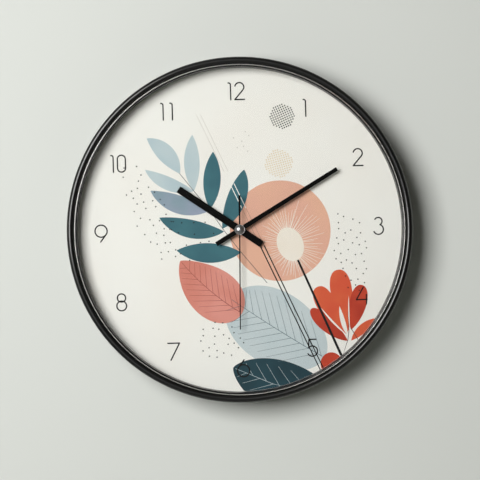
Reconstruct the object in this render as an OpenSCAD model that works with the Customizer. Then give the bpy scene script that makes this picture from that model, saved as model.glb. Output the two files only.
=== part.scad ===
// Round battery wall clock: a moulded ring frame, a glazed dial and a quartz movement that
// hangs on a steel keyhole plate. Millimetres, +Z up as the clock hangs, front face to -Y.
// The origin is the point that hangs on the wall hook: the top of the keyhole slot, on the
// wall's plane. Inside hung() the clock is drawn flat: x to the right and y up on the dial,
// measured from the hands' centre, and z away from the wall.

/* [Frame] */
// Outer diameter of the frame
frame_d = 300; // [250:5:360]
// Radius of the round bead that runs along the frame's front edge
bead_r = 3.0; // [2.5:0.1:3.8]
// Width of the groove between the bead and the lip
groove_w = 0.3; // [0.2:0.05:0.6]
// Depth of the groove below the middle of the bead
groove_deep = 0.6; // [0.3:0.1:1.2]
// Width of the rounded lip that holds the glass in
lip_w = 2.5; // [2.0:0.1:3.2]
// How far the bead's crest stands above the lip's crest
bead_rise = 1.5; // [0.8:0.1:2.4]
// Height of the lip above the glass
lip_h = 3.1; // [2.6:0.1:4.0]
// Wall of the outer skirt
skirt_t = 2.2; // [1.6:0.1:2.8]
// Wall of the inner ring, around the glass and dial
ring_wall = 1.6; // [1.2:0.1:2.0]
// Width of the ledge behind the lip that the glass rests on
glass_seat = 2.4; // [1.8:0.1:2.8]
// Number of screws that hold the back plate to the frame
frame_screws = 6; // [4:1:8]

/* [Glass and dial] */
// Thickness of the glass
glass_t = 2.0; // [1.5:0.1:3.0]
// Thickness of the printed dial card
dial_t = 0.4; // [0.2:0.1:1.0]
// Wall of the ring that keeps the glass off the dial
spacer_t = 2.0; // [1.6:0.1:2.4]
// Clearance between the centre cap and the glass
cap_to_glass = 1.4; // [1.0:0.1:6.0]

/* [Back plate and hanger] */
// Thickness of the back plate
plate_t = 2.4; // [1.6:0.1:4.0]
// Height of the ribs on the back plate
rib_h = 4.0; // [2.0:0.5:8.0]
// Thickness of each rib
rib_t = 1.6; // [1.0:0.1:2.4]
// Number of ribs that run out from the hub of the plate
ribs = 12; // [8:2:24]
// Height of the hook point above the hands' centre
hook_height = 88; // [74:1:98]
// Width of the slot that hangs on the hook
slot_w = 5.0; // [4.0:0.1:6.0]
// Diameter of the hole that the hook's head goes in by
entry_d = 10.0; // [8.0:0.1:12.0]
// Distance from the slot's top centre down to the entry's centre
slot_drop = 9.0; // [8.0:0.5:12.0]
// Thickness of the steel hanger plate
hanger_t = 1.2; // [0.8:0.1:2.0]
// Gap between the wall and the hanger plate
hanger_gap = 2.0; // [1.7:0.1:2.5]
// Diameter of the posts that carry the hanger plate
post_d = 8.0; // [7.0:0.5:10.0]

/* [Hands] */
// Length of the hour hand from the centre
hour_len = 64; // [40:1:75]
// Length of the hour hand's tail
hour_tail = 23; // [10:1:30]
// Width of the hour hand
hour_w = 6.1; // [4.0:0.1:8.0]
// Thickness of the hour hand
hour_t = 0.6; // [0.4:0.1:1.0]
// Length of the minute hand from the centre
minute_len = 100; // [70:1:110]
// Length of the minute hand's tail
minute_tail = 24; // [10:1:35]
// Width of the minute hand at its root
minute_w = 4.0; // [3.0:0.1:6.0]
// Width of the minute hand at its tip
minute_tip_w = 3.5; // [2.0:0.1:6.0]
// Thickness of the minute hand
minute_t = 0.5; // [0.3:0.1:1.0]
// Length of the second hand from the centre
second_len = 87; // [60:1:110]
// Length of the second hand's tail
second_tail = 30; // [15:1:40]
// Width of the second hand at its root
second_w = 1.2; // [0.8:0.1:2.0]
// Width of the second hand at its tip
second_tip_w = 0.9; // [0.5:0.1:2.0]
// Width of the second hand's tail
second_tail_w = 2.0; // [1.0:0.1:3.0]
// Thickness of the second hand
second_t = 0.3; // [0.2:0.1:0.6]
// Diameter of the domed cap over the hands' centre
cap_d = 8.9; // [8.8:0.1:12.0]
// Height of the cap's dome
cap_h = 2.1; // [1.6:0.1:3.0]
// Hour that the hands show
show_hour = 10; // [0:1:11]
// Minute that the hands show
show_minute = 9.93; // [0:0.01:59.99]
// Second that the hands show
show_second = 30.2; // [0:0.1:59.9]

/* [Shafts] */
// Diameter of the seconds arbor
seconds_d = 0.9; // [0.8:0.05:1.0]
// Outer diameter of the minute pipe
minute_pipe_d = 3.2; // [2.7:0.1:3.2]
// Outer diameter of the hour pipe
hour_pipe_d = 5.0; // [4.5:0.1:6.0]
// Outer diameter of the bushing around the hour pipe
bushing_d = 8.0; // [7.0:0.1:8.4]
// Radial clearance of everything that turns in a bore
run_gap = 0.06; // [0.04:0.01:0.09]
// Radial clearance of what is pressed on and stays put
press_gap = 0.01; // [0.01:0.01:0.02]
// Gap between the hands' hubs along the shaft
hub_gap = 0.3; // [0.2:0.1:0.6]

/* [Movement] */
// Wall of the movement's case
case_wall = 1.5; // [1.2:0.1:2.0]
// Gap between the wall and the back of the movement
wall_gap = 4.2; // [4.0:0.1:8.0]
// Thickness of the rubber washer between movement and plate
washer_t = 1.0; // [0.5:0.1:2.0]
// Module of the seconds train
seconds_m = 0.25; // [0.22:0.01:0.3]
// Module of the rotor's mesh
rotor_m = 0.2; // [0.18:0.01:0.22]
// Module of the motion work that drives the hour hand
motion_m = 0.35; // [0.33:0.01:0.37]
// Thickness of each train wheel
wheel_t = 0.8; // [0.6:0.1:1.0]
// Gap between neighbouring wheels along their shafts
wheel_gap = 0.8; // [0.6:0.1:1.2]
// Thickness of the motion work's wheels
motion_t = 1.0; // [0.8:0.1:1.4]
// Thickness of the plate between train and motion work
mid_t = 1.0; // [0.8:0.1:1.6]
// Diameter of the rotor magnet
magnet_d = 4.8; // [4.0:0.1:5.0]
// Air gap between magnet and stator
air_gap = 0.5; // [0.4:0.05:0.6]
// Thickness of the stator plate and of the coil's core
stator_t = 1.0; // [0.8:0.1:1.0]

/* [Battery] */
// Diameter of the battery
battery_d = 14.5; // [12:0.1:17.5]
// Length of the battery with its positive nub
battery_len = 50.5; // [44:0.5:61]
// Clearance around the battery in its bay
battery_play = 0.25; // [0.15:0.05:0.5]

/* [Hidden] */
$fn = 64;
eps = 0.01; // how far a cut runs past the face that it opens
seat_gap = 0.2; // clearance of the glass, spacer and dial in the frame
plate_gap = 0.3; // clearance of the back plate in the skirt
thread_gap = 0.05; // clearance of a screw's shank in its pilot hole
through_gap = 0.15; // clearance of a screw or column in what it passes through
boss_root = 0.5; // how far a boss runs into the wall that carries it

// Radii of the frame, from the outside in
frame_r = frame_d / 2;
bezel_w = 2 * bead_r + groove_w + lip_w;
opening_r = frame_r - bezel_w;
rabbet_r = opening_r + glass_seat;
skirt_in = frame_r - skirt_t;
plate_r = skirt_in - plate_gap;
glass_r = rabbet_r - seat_gap;
frame_screw_r = rabbet_r + 2.0;
rim_chamfer = 0.5;

// Screws: head radius, head height, shank radius
small_screw = [1.9, 1.2, 0.85];
hanger_screw = [3.2, 1.4, 1.2];
board_screw = [1.4, 0.7, 0.6];
frame_screw_len = 7.5;
hanger_screw_len = 8;
movement_screw_len = 9;
pilot_depth = 9; // depth of the screw holes in bosses, posts and columns
mount_bite = 1.4; // how far the mounting screws reach into the back plate
mount_spare = 0.3; // how much deeper their holes are

// Teeth: 25 degree pressure angle, stub addendum, and play between the flanks
pressure_angle = 25;
addendum = 0.8;
dedendum = 1.1;
tooth_play = 0.06;
seconds_teeth = 60;
seconds_leaves = 8;
third_teeth = 60;
third_leaves = 8;
minute_teeth = 64;
middle_teeth = 50;
middle_leaves = 10;
rotor_leaves = 10;
cannon_leaves = 12;
motion_teeth = 36;
motion_leaves = 10;
hour_teeth = 40;

// Centre distances, and the modules that share them
third_c = (seconds_leaves + third_teeth) * seconds_m / 2;
minute_m = 2 * third_c / (minute_teeth + third_leaves);
middle_c = (seconds_teeth + middle_leaves) * seconds_m / 2;
rotor_c = (middle_teeth + rotor_leaves) * rotor_m / 2;
motion_c = (cannon_leaves + motion_teeth) * motion_m / 2;
hour_m = 2 * motion_c / (hour_teeth + motion_leaves);

// Where each arbor stands, by the direction from the wheel before it
third_dir = 150;
middle_dir = 30;
rotor_dir = 80;
motion_dir = -15;
third_at = polar(third_c, third_dir);
middle_at = polar(middle_c, middle_dir);
rotor_at = middle_at + polar(rotor_c, rotor_dir);
motion_at = polar(motion_c, motion_dir);
setting_at = polar(2 * motion_c, motion_dir);

// Arbors of the train
arbor_r = 0.6;
pivot_r = 0.35;
pivot_len = 0.7;
pivot_boss_r = 1.4;
setting_r = 1.0; // the setting shaft
setting_boss_r = 2.0;
setting_boss_h = 0.6;
end_shake = 0.05; // free play along each arbor
floor_gap = 0.8;
case_z = wall_gap;
cover_in = case_z + case_wall;
level_1 = cover_in + floor_gap;
level_2 = level_1 + wheel_t + wheel_gap;
level_3 = level_2 + wheel_t + wheel_gap;
level_4 = level_3 + wheel_t + wheel_gap;
mid_z = level_4 + wheel_t + 0.9;
level_5 = mid_z + mid_t + wheel_gap;
level_6 = level_5 + motion_t + wheel_gap;
train_depth = level_6 + motion_t + 1.1 - cover_in;
case_depth = max(train_depth + 2 * case_wall, battery_d + case_wall);
case_top = case_z + case_depth;
front_in = case_top - case_wall;
cover_boss_h = 0.5;

// Levels of the dial side
plate_z = case_top + washer_t;
dial_z = plate_z + plate_t;
dial_top = dial_z + dial_t;
bushing_rise = 2.2;
hour_collet_h = 1.5;
minute_collet_h = 1.1;
second_tube_h = 0.8;
bushing_top = dial_top + bushing_rise;
hour_z = bushing_top + hub_gap + hour_collet_h;
hour_top = hour_z + hour_t;
minute_z = hour_top + hub_gap + minute_collet_h;
minute_top = minute_z + minute_t;
second_z = minute_top + hub_gap + second_tube_h;
second_top = second_z + second_t;
cap_top = second_top + cap_h;
arbor_top = second_top + cap_h / 2;
glass_z = cap_top + cap_to_glass;
glass_top = glass_z + glass_t;
frame_depth = glass_top + lip_h + bead_rise;

// Radii at the centre
seconds_r = seconds_d / 2;
minute_in = seconds_r + run_gap;
minute_r = minute_pipe_d / 2;
hour_in = minute_r + run_gap;
hour_r = hour_pipe_d / 2;
bushing_in = hour_r + run_gap;
bushing_r = bushing_d / 2;
cap_r = cap_d / 2;
hub_cover = 0.25; // how far the cap reaches past the hour hand's hub

// Outline of the movement: the train's room above, the battery's bay below
above_centre = 26.5;
below_centre = 10.35;
partition_t = 1.2;
battery_r = battery_d / 2;
bay_top = -below_centre - partition_t;
battery_y = bay_top - battery_play - battery_r;
battery_z = front_in - battery_play - battery_r;
bay_bottom = battery_y - battery_r - battery_play;
contact_t = 0.4;
contact_gap = 0.1;
spring_room = 2.0;
case_in_w = battery_len + spring_room + contact_t + contact_gap;
case_half = case_in_w / 2 + case_wall;
case_low = bay_bottom - case_wall;
case_high = above_centre + case_wall;
battery_left = -case_in_w / 2 + spring_room;
corner_r = 3;
column_r = 2.0; // the screw columns, behind the middle plate
column_foot_r = 3.0; // the same columns, in front of it
column_inset = 3.3;
column_x = case_in_w / 2 - column_inset - 0.2;
column_ys = [above_centre - column_inset, -below_centre + column_inset];
ear_len = 7;
ear_w = 9;
ear_t = 2.4;
ear_y = 8;
ear_x = case_half + ear_len / 2;

// Stator, coil and circuit board, placed from the rotor
stator_z = level_3 - 0.5;
stator_hole_r = magnet_d / 2 + air_gap;
stator_neck = 0.7;
stator_half = stator_hole_r + stator_neck;
arm_w = 3.6;
stator_left = rotor_at[0] - 7.7;
stator_right = column_x - column_r - 0.9;
coil_y = rotor_at[1] + 11.2;
core_w = 3.0;
core_z = stator_z + stator_t;
coil_mid_z = core_z + stator_t / 2;
flange_half = 3.3;
flange_t = 0.7;
winding_r = 3.0;
coil_left = stator_left + arm_w + 0.6;
coil_right = stator_right - arm_w - 0.6;
peg_r = 0.8;
magnet_t = 2.6;
board_t = 1.0;
board_w = 17.6;
board_h = 12.2;
board_x = -20.2;
board_y = 12.8;

// Angles of the hands, clockwise from 12
hour_angle = 30 * show_hour + show_minute / 2;
minute_angle = 6 * show_minute;
second_angle = 6 * show_second;

function polar(r, a) = [r * cos(a), r * sin(a)];

// Points of an arc about c, from angle a to angle b
function arc(c, r, a, b, steps) = [for (i = [0:steps]) c + polar(r, a + (b - a) * i / steps)];

// Outline of a box with rounded corners
function round_box(x0, y0, x1, y1, r, steps = 4) = concat(
    arc([x1 - r, y1 - r], r, 0, 90, steps),
    arc([x0 + r, y1 - r], r, 90, 180, steps),
    arc([x0 + r, y0 + r], r, 180, 270, steps),
    arc([x1 - r, y0 + r], r, 270, 360, steps)
);

// Half the angle that an involute tooth fills at radius r
function involute(a) = tan(a) * 180 / PI - a;
function half_tooth(n, m, r) = 90 / n - tooth_play / (n * m) * 180 / PI
    + involute(pressure_angle) - involute(acos(min(1, n * m / 2 * cos(pressure_angle) / r)));
function tip_r(n, m) = (n / 2 + addendum) * m;
function root_r(n, m) = (n / 2 - dedendum) * m;
// Radii at which a flank has points: a pinion's flank needs one at the pitch circle too
function flank(n, m) = n < 20 ? [root_r(n, m), n * m / 2, tip_r(n, m)] : [root_r(n, m), tip_r(n, m)];
function gear_points(n, m, phase) = [
    for (i = [0:n - 1], side = [-1, 1], k = [0:len(flank(n, m)) - 1])
        let (rs = flank(n, m), r = rs[side < 0 ? k : len(rs) - 1 - k])
            polar(r, phase + 360 * i / n + side * half_tooth(n, m, r))
];
// Phase that puts gear b in mesh with gear a, which lies in direction dir from a
function meshed(dir, teeth_a, phase_a, teeth_b) =
    dir + 180 - (180 - (dir - phase_a) * teeth_a) / teeth_b;

third_pinion_phase = meshed(third_dir, minute_teeth, 0, third_leaves);
seconds_pinion_phase = meshed(third_dir + 180, third_teeth, 0, seconds_leaves);
middle_pinion_phase = meshed(middle_dir, seconds_teeth, 0, middle_leaves);
rotor_phase = meshed(rotor_dir, middle_teeth, 0, rotor_leaves);
motion_phase = meshed(motion_dir, cannon_leaves, 0, motion_teeth);
hour_phase = meshed(motion_dir + 180, motion_leaves, 0, hour_teeth);
setting_phase = meshed(motion_dir, motion_teeth, motion_phase, cannon_leaves);

// Sets what is drawn flat upright, with its hook point at the origin
module hung() {
    translate([0, 0, -hook_height]) rotate([90, 0, 0]) children();
}

module at(point, z = 0) {
    translate([point[0], point[1], z]) children();
}

module slab(points, t) {
    linear_extrude(t) polygon(points);
}

module tube(r_out, r_in, h) {
    difference() {
        cylinder(r = r_out, h = h);
        translate([0, 0, -eps]) cylinder(r = r_in, h = h + 2 * eps);
    }
}

module box(low, high) {
    translate(low) cube(high - low);
}

// Pan-head screw: the head's underside is at z = 0, and the shank runs up
module screw(size, len) {
    translate([0, 0, -size[1]]) difference() {
        cylinder(r = size[0], h = size[1]);
        for (a = [0, 90]) rotate(a) translate([-size[0] * 0.6, -0.2, -eps])
            cube([size[0] * 1.2, 0.4, size[1] / 2]);
    }
    translate([0, 0, -eps]) cylinder(r = size[2], h = len + eps);
}

module around(count, r, start = 0) {
    for (i = [0:count - 1]) rotate(start + 360 * i / count) translate([r, 0, 0]) children();
}

module at_columns() {
    for (side = [-1, 1], y = column_ys) at([side * column_x, y]) children();
}

module at_ears() {
    for (side = [-1, 1]) at([side * ear_x, ear_y]) children();
}

// ---- Frame, glass and dial ----

frame_profile = concat(
    [[skirt_in, 0], [frame_r - rim_chamfer, 0], [frame_r, rim_chamfer]],
    arc([frame_r - bead_r, frame_depth - bead_r], bead_r, 0, 180, 20),
    [
        [frame_r - 2 * bead_r, frame_depth - bead_r - groove_deep],
        [opening_r + lip_w, frame_depth - bead_r - groove_deep]
    ],
    arc([opening_r + lip_w / 2, glass_top + lip_h - lip_w / 2], lip_w / 2, 0, 180, 12),
    [
        [opening_r, glass_top], [rabbet_r, glass_top], [rabbet_r, dial_z],
        [rabbet_r + ring_wall, dial_z], [rabbet_r + ring_wall, frame_depth - bead_r],
        [skirt_in, frame_depth - bead_r]
    ]
);
screw_boss_w = 7;

module frame_ring() {
    color([0.06, 0.06, 0.07]) hung() difference() {
        union() {
            rotate_extrude($fn = 180) polygon(frame_profile);
            around(frame_screws, rabbet_r + 1, 30)
                box([0, -screw_boss_w / 2, dial_z],
                    [skirt_in - rabbet_r - 0.5, screw_boss_w / 2, frame_depth - bead_r + 0.5]);
        }
        around(frame_screws, frame_screw_r, 30)
            translate([0, 0, dial_z - eps]) cylinder(r = small_screw[2] + thread_gap, h = pilot_depth);
    }
}

module glass_lens() {
    color([0.85, 0.92, 0.92, 0.3]) hung()
        translate([0, 0, glass_z]) cylinder(r = glass_r, h = glass_t, $fn = 180);
}

module spacer_ring() {
    color([0.08, 0.08, 0.09]) hung()
        translate([0, 0, dial_top]) tube(glass_r, glass_r - spacer_t, glass_z - dial_top, $fn = 180);
}

module dial_sheet() {
    color([0.92, 0.9, 0.86]) hung()
        translate([0, 0, dial_z]) tube(glass_r, bushing_r + seat_gap, dial_t, $fn = 180);
}

// ---- Back plate and hanger ----

rib_start = case_half + ear_len + 11;
rib_end = rabbet_r - 3;
rib_root = 1.0; // how far a rib or post runs into the plate
post_x = 13;
post_y = hook_height - slot_w / 2 - slot_drop / 2;
hanger_w = 36;
hanger_margin = 7;
hanger_low = hook_height - slot_w / 2 - slot_drop - entry_d / 2 - hanger_margin;
hanger_high = hook_height + hanger_margin;
post_z = hanger_gap + hanger_t;

module back_plate() {
    color([0.1, 0.1, 0.11]) hung() difference() {
        union() {
            translate([0, 0, plate_z]) cylinder(r = plate_r, h = plate_t, $fn = 180);
            translate([0, 0, plate_z - rib_h]) {
                tube(rib_start + rib_t, rib_start, rib_h + rib_root / 2);
                around(ribs, rib_start + rib_t / 2, 180 / ribs)
                    box([0, -rib_t / 2, 0], [rib_end - rib_start, rib_t / 2, rib_h + rib_root]);
            }
            for (side = [-1, 1]) at([side * post_x, post_y], post_z)
                cylinder(d = post_d, h = plate_z - post_z + rib_root);
            at_ears() translate([0, 0, case_top]) cylinder(r = ear_w / 2, h = washer_t + rib_root);
        }
        translate([0, 0, plate_z - eps]) cylinder(r = bushing_r + seat_gap, h = plate_t + 2 * eps);
        around(frame_screws, frame_screw_r, 30)
            translate([0, 0, plate_z - eps])
                cylinder(r = small_screw[2] + through_gap, h = plate_t + 2 * eps);
        for (side = [-1, 1]) at([side * post_x, post_y], post_z - eps)
            cylinder(r = hanger_screw[2] + thread_gap, h = pilot_depth);
        at_ears() translate([0, 0, case_top - eps])
            cylinder(r = small_screw[2] + thread_gap, h = washer_t + mount_bite + mount_spare);
    }
}

module back_plate_screws() {
    color([0.55, 0.55, 0.57]) hung() around(frame_screws, frame_screw_r, 30)
        translate([0, 0, plate_z]) screw(small_screw, frame_screw_len);
}

module hanger_plate() {
    color([0.72, 0.72, 0.74]) hung() translate([0, 0, hanger_gap]) difference() {
        slab(round_box(-hanger_w / 2, hanger_low, hanger_w / 2, hanger_high, 4), hanger_t);
        at([0, hook_height - slot_w / 2 - slot_drop], -eps) cylinder(d = entry_d, h = hanger_t + 2 * eps);
        at([0, hook_height - slot_w / 2], -eps) cylinder(d = slot_w, h = hanger_t + 2 * eps);
        box([-slot_w / 2, hook_height - slot_w / 2 - slot_drop, -eps],
            [slot_w / 2, hook_height - slot_w / 2, hanger_t + eps]);
        for (side = [-1, 1]) at([side * post_x, post_y], -eps)
            cylinder(r = hanger_screw[2] + through_gap, h = hanger_t + 2 * eps);
    }
}

module hanger_screws() {
    color([0.6, 0.6, 0.62]) hung() for (side = [-1, 1])
        at([side * post_x, post_y], hanger_gap) screw(hanger_screw, hanger_screw_len);
}

module rubber_washer() {
    color([0.13, 0.13, 0.13]) hung()
        translate([0, 0, case_top]) tube(12, bushing_r + seat_gap, washer_t);
}

// ---- Movement case ----

module case_outline(t) {
    slab(round_box(-case_half, case_low, case_half, case_high, corner_r), t);
}

module movement_case() {
    color([0.14, 0.14, 0.15]) hung() difference() {
        union() {
            difference() {
                translate([0, 0, case_z]) case_outline(case_depth);
                translate([0, 0, case_z - eps]) slab(round_box(-case_in_w / 2, bay_bottom,
                    case_in_w / 2, above_centre, corner_r - case_wall), case_depth - case_wall + eps);
                box([-case_half - 1, bay_top - seat_gap, case_z - 1],
                    [case_half + 1, case_high + 1, cover_in]);
            }
            box([-case_half + boss_root, bay_top, cover_in],
                [case_half - boss_root, -below_centre, front_in + boss_root]);
            at_columns() {
                translate([0, 0, cover_in]) cylinder(r = column_r, h = front_in + boss_root - cover_in);
                translate([0, 0, mid_z + mid_t])
                    cylinder(r = column_foot_r, h = front_in + boss_root - mid_z - mid_t);
            }
            at_ears() box([-ear_len / 2 - 1, -ear_w / 2, case_top - ear_t],
                [ear_len / 2 + 1, ear_w / 2, case_top]);
            at(setting_at, front_in - setting_boss_h)
                cylinder(r = setting_boss_r, h = setting_boss_h + boss_root);
        }
        at_columns() translate([0, 0, cover_in - eps])
            cylinder(r = small_screw[2] + thread_gap, h = pilot_depth);
        at_ears() translate([0, 0, case_top - ear_t - eps])
            cylinder(r = small_screw[2] + through_gap, h = ear_t + 2 * eps);
        translate([0, 0, front_in - eps]) cylinder(r = bushing_r + press_gap, h = case_wall + 2 * eps);
        at(setting_at, front_in - 1) cylinder(r = setting_r + run_gap, h = 1.7);
    }
}

module pivot_boss(point) {
    at(point, cover_in - boss_root) cylinder(r = pivot_boss_r, h = boss_root + cover_boss_h);
}

module rear_cover() {
    pivots = [third_at, middle_at, rotor_at];
    color([0.16, 0.16, 0.17]) hung() difference() {
        union() {
            translate([0, 0, case_z]) slab(round_box(-case_half, bay_top, case_half, case_high, corner_r),
                case_wall);
            for (point = pivots) pivot_boss(point);
            at(setting_at, cover_in - boss_root) cylinder(r = setting_boss_r, h = boss_root + cover_boss_h);
        }
        for (point = pivots) at(point, cover_in + cover_boss_h - pivot_len)
            cylinder(r = pivot_r + run_gap, h = pivot_len + eps);
        translate([0, 0, cover_in - 1]) cylinder(r = seconds_r + run_gap, h = 1 + eps);
        at(setting_at, case_z - eps) cylinder(r = setting_r + run_gap, h = case_wall + 1);
        at_columns() translate([0, 0, case_z - eps])
            cylinder(r = small_screw[2] + through_gap, h = case_wall + 2 * eps);
    }
}

module movement_screws() {
    color([0.62, 0.62, 0.64]) hung() at_columns()
        translate([0, 0, case_z]) screw(small_screw, movement_screw_len);
}

module mount_screws() {
    color([0.62, 0.62, 0.64]) hung() at_ears()
        translate([0, 0, case_top - ear_t]) screw(small_screw, ear_t + washer_t + mount_bite);
}

module bushing() {
    color([0.78, 0.62, 0.3]) hung() {
        translate([0, 0, front_in - 0.5]) tube(bushing_r, bushing_in, bushing_top - front_in + boss_root);
        translate([0, 0, front_in - 0.5]) tube(5.5, bushing_r - 0.5, 0.5);
    }
}

module middle_plate() {
    edge = 0.4;
    window = [coil_left - 0.5, coil_right + 0.5];
    color([0.86, 0.86, 0.84]) hung() difference() {
        union() {
            translate([0, 0, mid_z]) slab(round_box(-case_in_w / 2 + edge, -below_centre + edge,
                case_in_w / 2 - edge, above_centre - edge, corner_r - case_wall), mid_t);
            for (x = [stator_left + arm_w / 2, stator_right - arm_w / 2]) at([x, coil_y]) {
                translate([0, 0, core_z + stator_t])
                    cylinder(r = 1.5, h = mid_z + boss_root - core_z - stator_t);
                translate([0, 0, stator_z - 0.4]) cylinder(r = peg_r, h = mid_z - stator_z);
            }
            at(motion_at, mid_z + boss_root) cylinder(r = arbor_r, h = level_6 + motion_t - mid_z - 0.3);
            for (x = board_screw_xs) at([x, board_screw_y], mid_z + boss_root)
                cylinder(r = 1.6, h = mid_t + 1);
        }
        translate([0, 0, mid_z - eps]) {
            cylinder(r = hour_in, h = mid_t + 2 * eps);
            for (point = [third_at, middle_at, rotor_at]) at(point)
                cylinder(r = pivot_r + run_gap, h = pivot_len + eps);
            at(setting_at) cylinder(r = setting_r + 0.3, h = mid_t + 2 * eps);
            at_columns() cylinder(r = column_r + through_gap, h = mid_t + 2 * eps);
            box([window[0], coil_y - flange_half - 0.5, 0],
                [window[1], coil_y + flange_half + 0.5, mid_t + 2 * eps]);
            for (x = board_screw_xs) at([x, board_screw_y])
                cylinder(r = board_screw[2] + thread_gap, h = mid_t + 1);
        }
    }
}

// ---- Train ----

module gear(n, m, t, phase = 0) {
    slab(gear_points(n, m, phase), t);
}

// Arbor that stands between the rear cover and the middle plate, with a pivot at each end
module arbor() {
    low = cover_in + cover_boss_h + end_shake;
    high = mid_z - end_shake;
    pivot = pivot_len - 2 * end_shake;
    translate([0, 0, low]) cylinder(r = arbor_r, h = high - low);
    translate([0, 0, low - pivot]) cylinder(r = pivot_r, h = high - low + 2 * pivot);
}

module seconds_arbor() {
    color([0.75, 0.75, 0.77]) hung()
        translate([0, 0, cover_in - 0.9]) cylinder(r = seconds_r, h = arbor_top - cover_in + 0.9);
}

module seconds_wheel() {
    color([0.9, 0.88, 0.8]) hung() difference() {
        union() {
            translate([0, 0, level_1]) gear(seconds_teeth, seconds_m, wheel_t);
            translate([0, 0, level_1]) cylinder(r = seconds_r + 0.24, h = level_3 + wheel_t - level_1);
            translate([0, 0, level_3]) gear(seconds_leaves, seconds_m, wheel_t, seconds_pinion_phase);
        }
        translate([0, 0, level_1 - eps])
            cylinder(r = seconds_r + press_gap, h = level_3 + wheel_t - level_1 + 2 * eps);
    }
}

module third_wheel() {
    color([0.85, 0.86, 0.9]) hung() at(third_at) {
        arbor();
        translate([0, 0, level_3]) gear(third_teeth, seconds_m, wheel_t);
        translate([0, 0, level_4]) gear(third_leaves, minute_m, wheel_t, third_pinion_phase);
    }
}

module intermediate_wheel() {
    color([0.9, 0.9, 0.86]) hung() at(middle_at) {
        arbor();
        translate([0, 0, level_1]) gear(middle_leaves, seconds_m, wheel_t, middle_pinion_phase);
        translate([0, 0, level_2]) gear(middle_teeth, rotor_m, wheel_t);
    }
}

module rotor_pinion() {
    color([0.92, 0.9, 0.84]) hung() at(rotor_at) {
        arbor();
        translate([0, 0, level_2]) gear(rotor_leaves, rotor_m, wheel_t, rotor_phase);
    }
}

module rotor_magnet() {
    color([0.3, 0.3, 0.32]) hung() at(rotor_at, stator_z) tube(magnet_d / 2, arbor_r + press_gap, magnet_t);
}

// ---- Motor and circuit ----

module stator() {
    color([0.66, 0.67, 0.7]) hung() translate([0, 0, stator_z]) difference() {
        union() {
            box([stator_left, rotor_at[1] - stator_half, 0],
                [stator_right, rotor_at[1] + stator_half, stator_t]);
            for (x = [stator_left, stator_right - arm_w])
                box([x, rotor_at[1], 0], [x + arm_w, coil_y + core_w / 2, stator_t]);
        }
        at(rotor_at, -eps) cylinder(r = stator_hole_r, h = stator_t + 2 * eps);
        for (x = [stator_left + arm_w / 2, stator_right - arm_w / 2]) at([x, coil_y], -eps)
            cylinder(r = peg_r + thread_gap, h = stator_t + 2 * eps);
    }
}

module coil_core() {
    color([0.6, 0.61, 0.64]) hung() translate([0, 0, core_z]) difference() {
        box([stator_left, coil_y - core_w / 2, 0], [stator_right, coil_y + core_w / 2, stator_t]);
        for (x = [stator_left + arm_w / 2, stator_right - arm_w / 2]) at([x, coil_y], -eps)
            cylinder(r = peg_r + thread_gap, h = stator_t + 2 * eps);
    }
}

bobbin_wall = 0.5;
core_gap = 0.05;

// The bobbin's tube, or the room inside it, grown by g on each side of the core
module core_box(x0, x1, g) {
    box([x0, coil_y - core_w / 2 - g, coil_mid_z - stator_t / 2 - g],
        [x1, coil_y + core_w / 2 + g, coil_mid_z + stator_t / 2 + g]);
}

module coil_bobbin() {
    color([0.9, 0.9, 0.88]) hung() difference() {
        union() {
            core_box(coil_left, coil_right, core_gap + bobbin_wall);
            for (x = [coil_left, coil_right - flange_t])
                box([x, coil_y - flange_half, coil_mid_z - flange_half],
                    [x + flange_t, coil_y + flange_half, coil_mid_z + flange_half]);
        }
        core_box(coil_left - 1, coil_right + 1, core_gap);
    }
}

module coil_winding() {
    room = core_gap + bobbin_wall + press_gap;
    len = coil_right - coil_left - 2 * (flange_t + press_gap);
    color([0.72, 0.4, 0.2]) hung() difference() {
        translate([(coil_left + coil_right - len) / 2, coil_y, coil_mid_z])
            rotate([0, 90, 0]) cylinder(r = winding_r, h = len);
        core_box(coil_left, coil_right, room);
    }
}

board_z = mid_z - board_t;
board_screw_y = board_y + board_h - 1.8;
board_screw_xs = [board_x + 1.8, board_x + board_w - 1.8];

module circuit_board() {
    color([0.1, 0.38, 0.24]) hung() translate([0, 0, board_z]) difference() {
        box([board_x, board_y, 0], [board_x + board_w, board_y + board_h, board_t]);
        for (x = board_screw_xs) at([x, board_screw_y], -eps)
            cylinder(r = board_screw[2] + through_gap, h = board_t + 2 * eps);
    }
}

module chip_cover() {
    r = 3.0;
    dome = concat([[0, 0]], arc([0, -r], r * sqrt(2), 90, 45, 5));
    color([0.05, 0.05, 0.05]) hung() at([board_x + 6, board_y + 4], board_z)
        mirror([0, 0, 1]) rotate_extrude() polygon(dome);
}

module quartz_crystal() {
    r = 1.0;
    color([0.8, 0.8, 0.78]) hung() translate([board_x + 10.5, board_y + 4, board_z - r])
        rotate([0, 90, 0]) cylinder(r = r, h = 6);
}

module board_screws() {
    color([0.7, 0.6, 0.35]) hung() for (x = board_screw_xs)
        at([x, board_screw_y], board_z) screw(board_screw, board_t + mid_t + 0.4);
}

// ---- Battery and its contacts ----

contact_w = 10;
contact_low = battery_z - 4.5;
contact_high = battery_z + 4.5;
leaf_reach = spring_room - 2 * contact_gap;

module contact_positive() {
    color([0.8, 0.8, 0.78]) hung() box([case_in_w / 2 - contact_t, battery_y - contact_w / 2, contact_low],
        [case_in_w / 2, battery_y + contact_w / 2, contact_high]);
}

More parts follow.
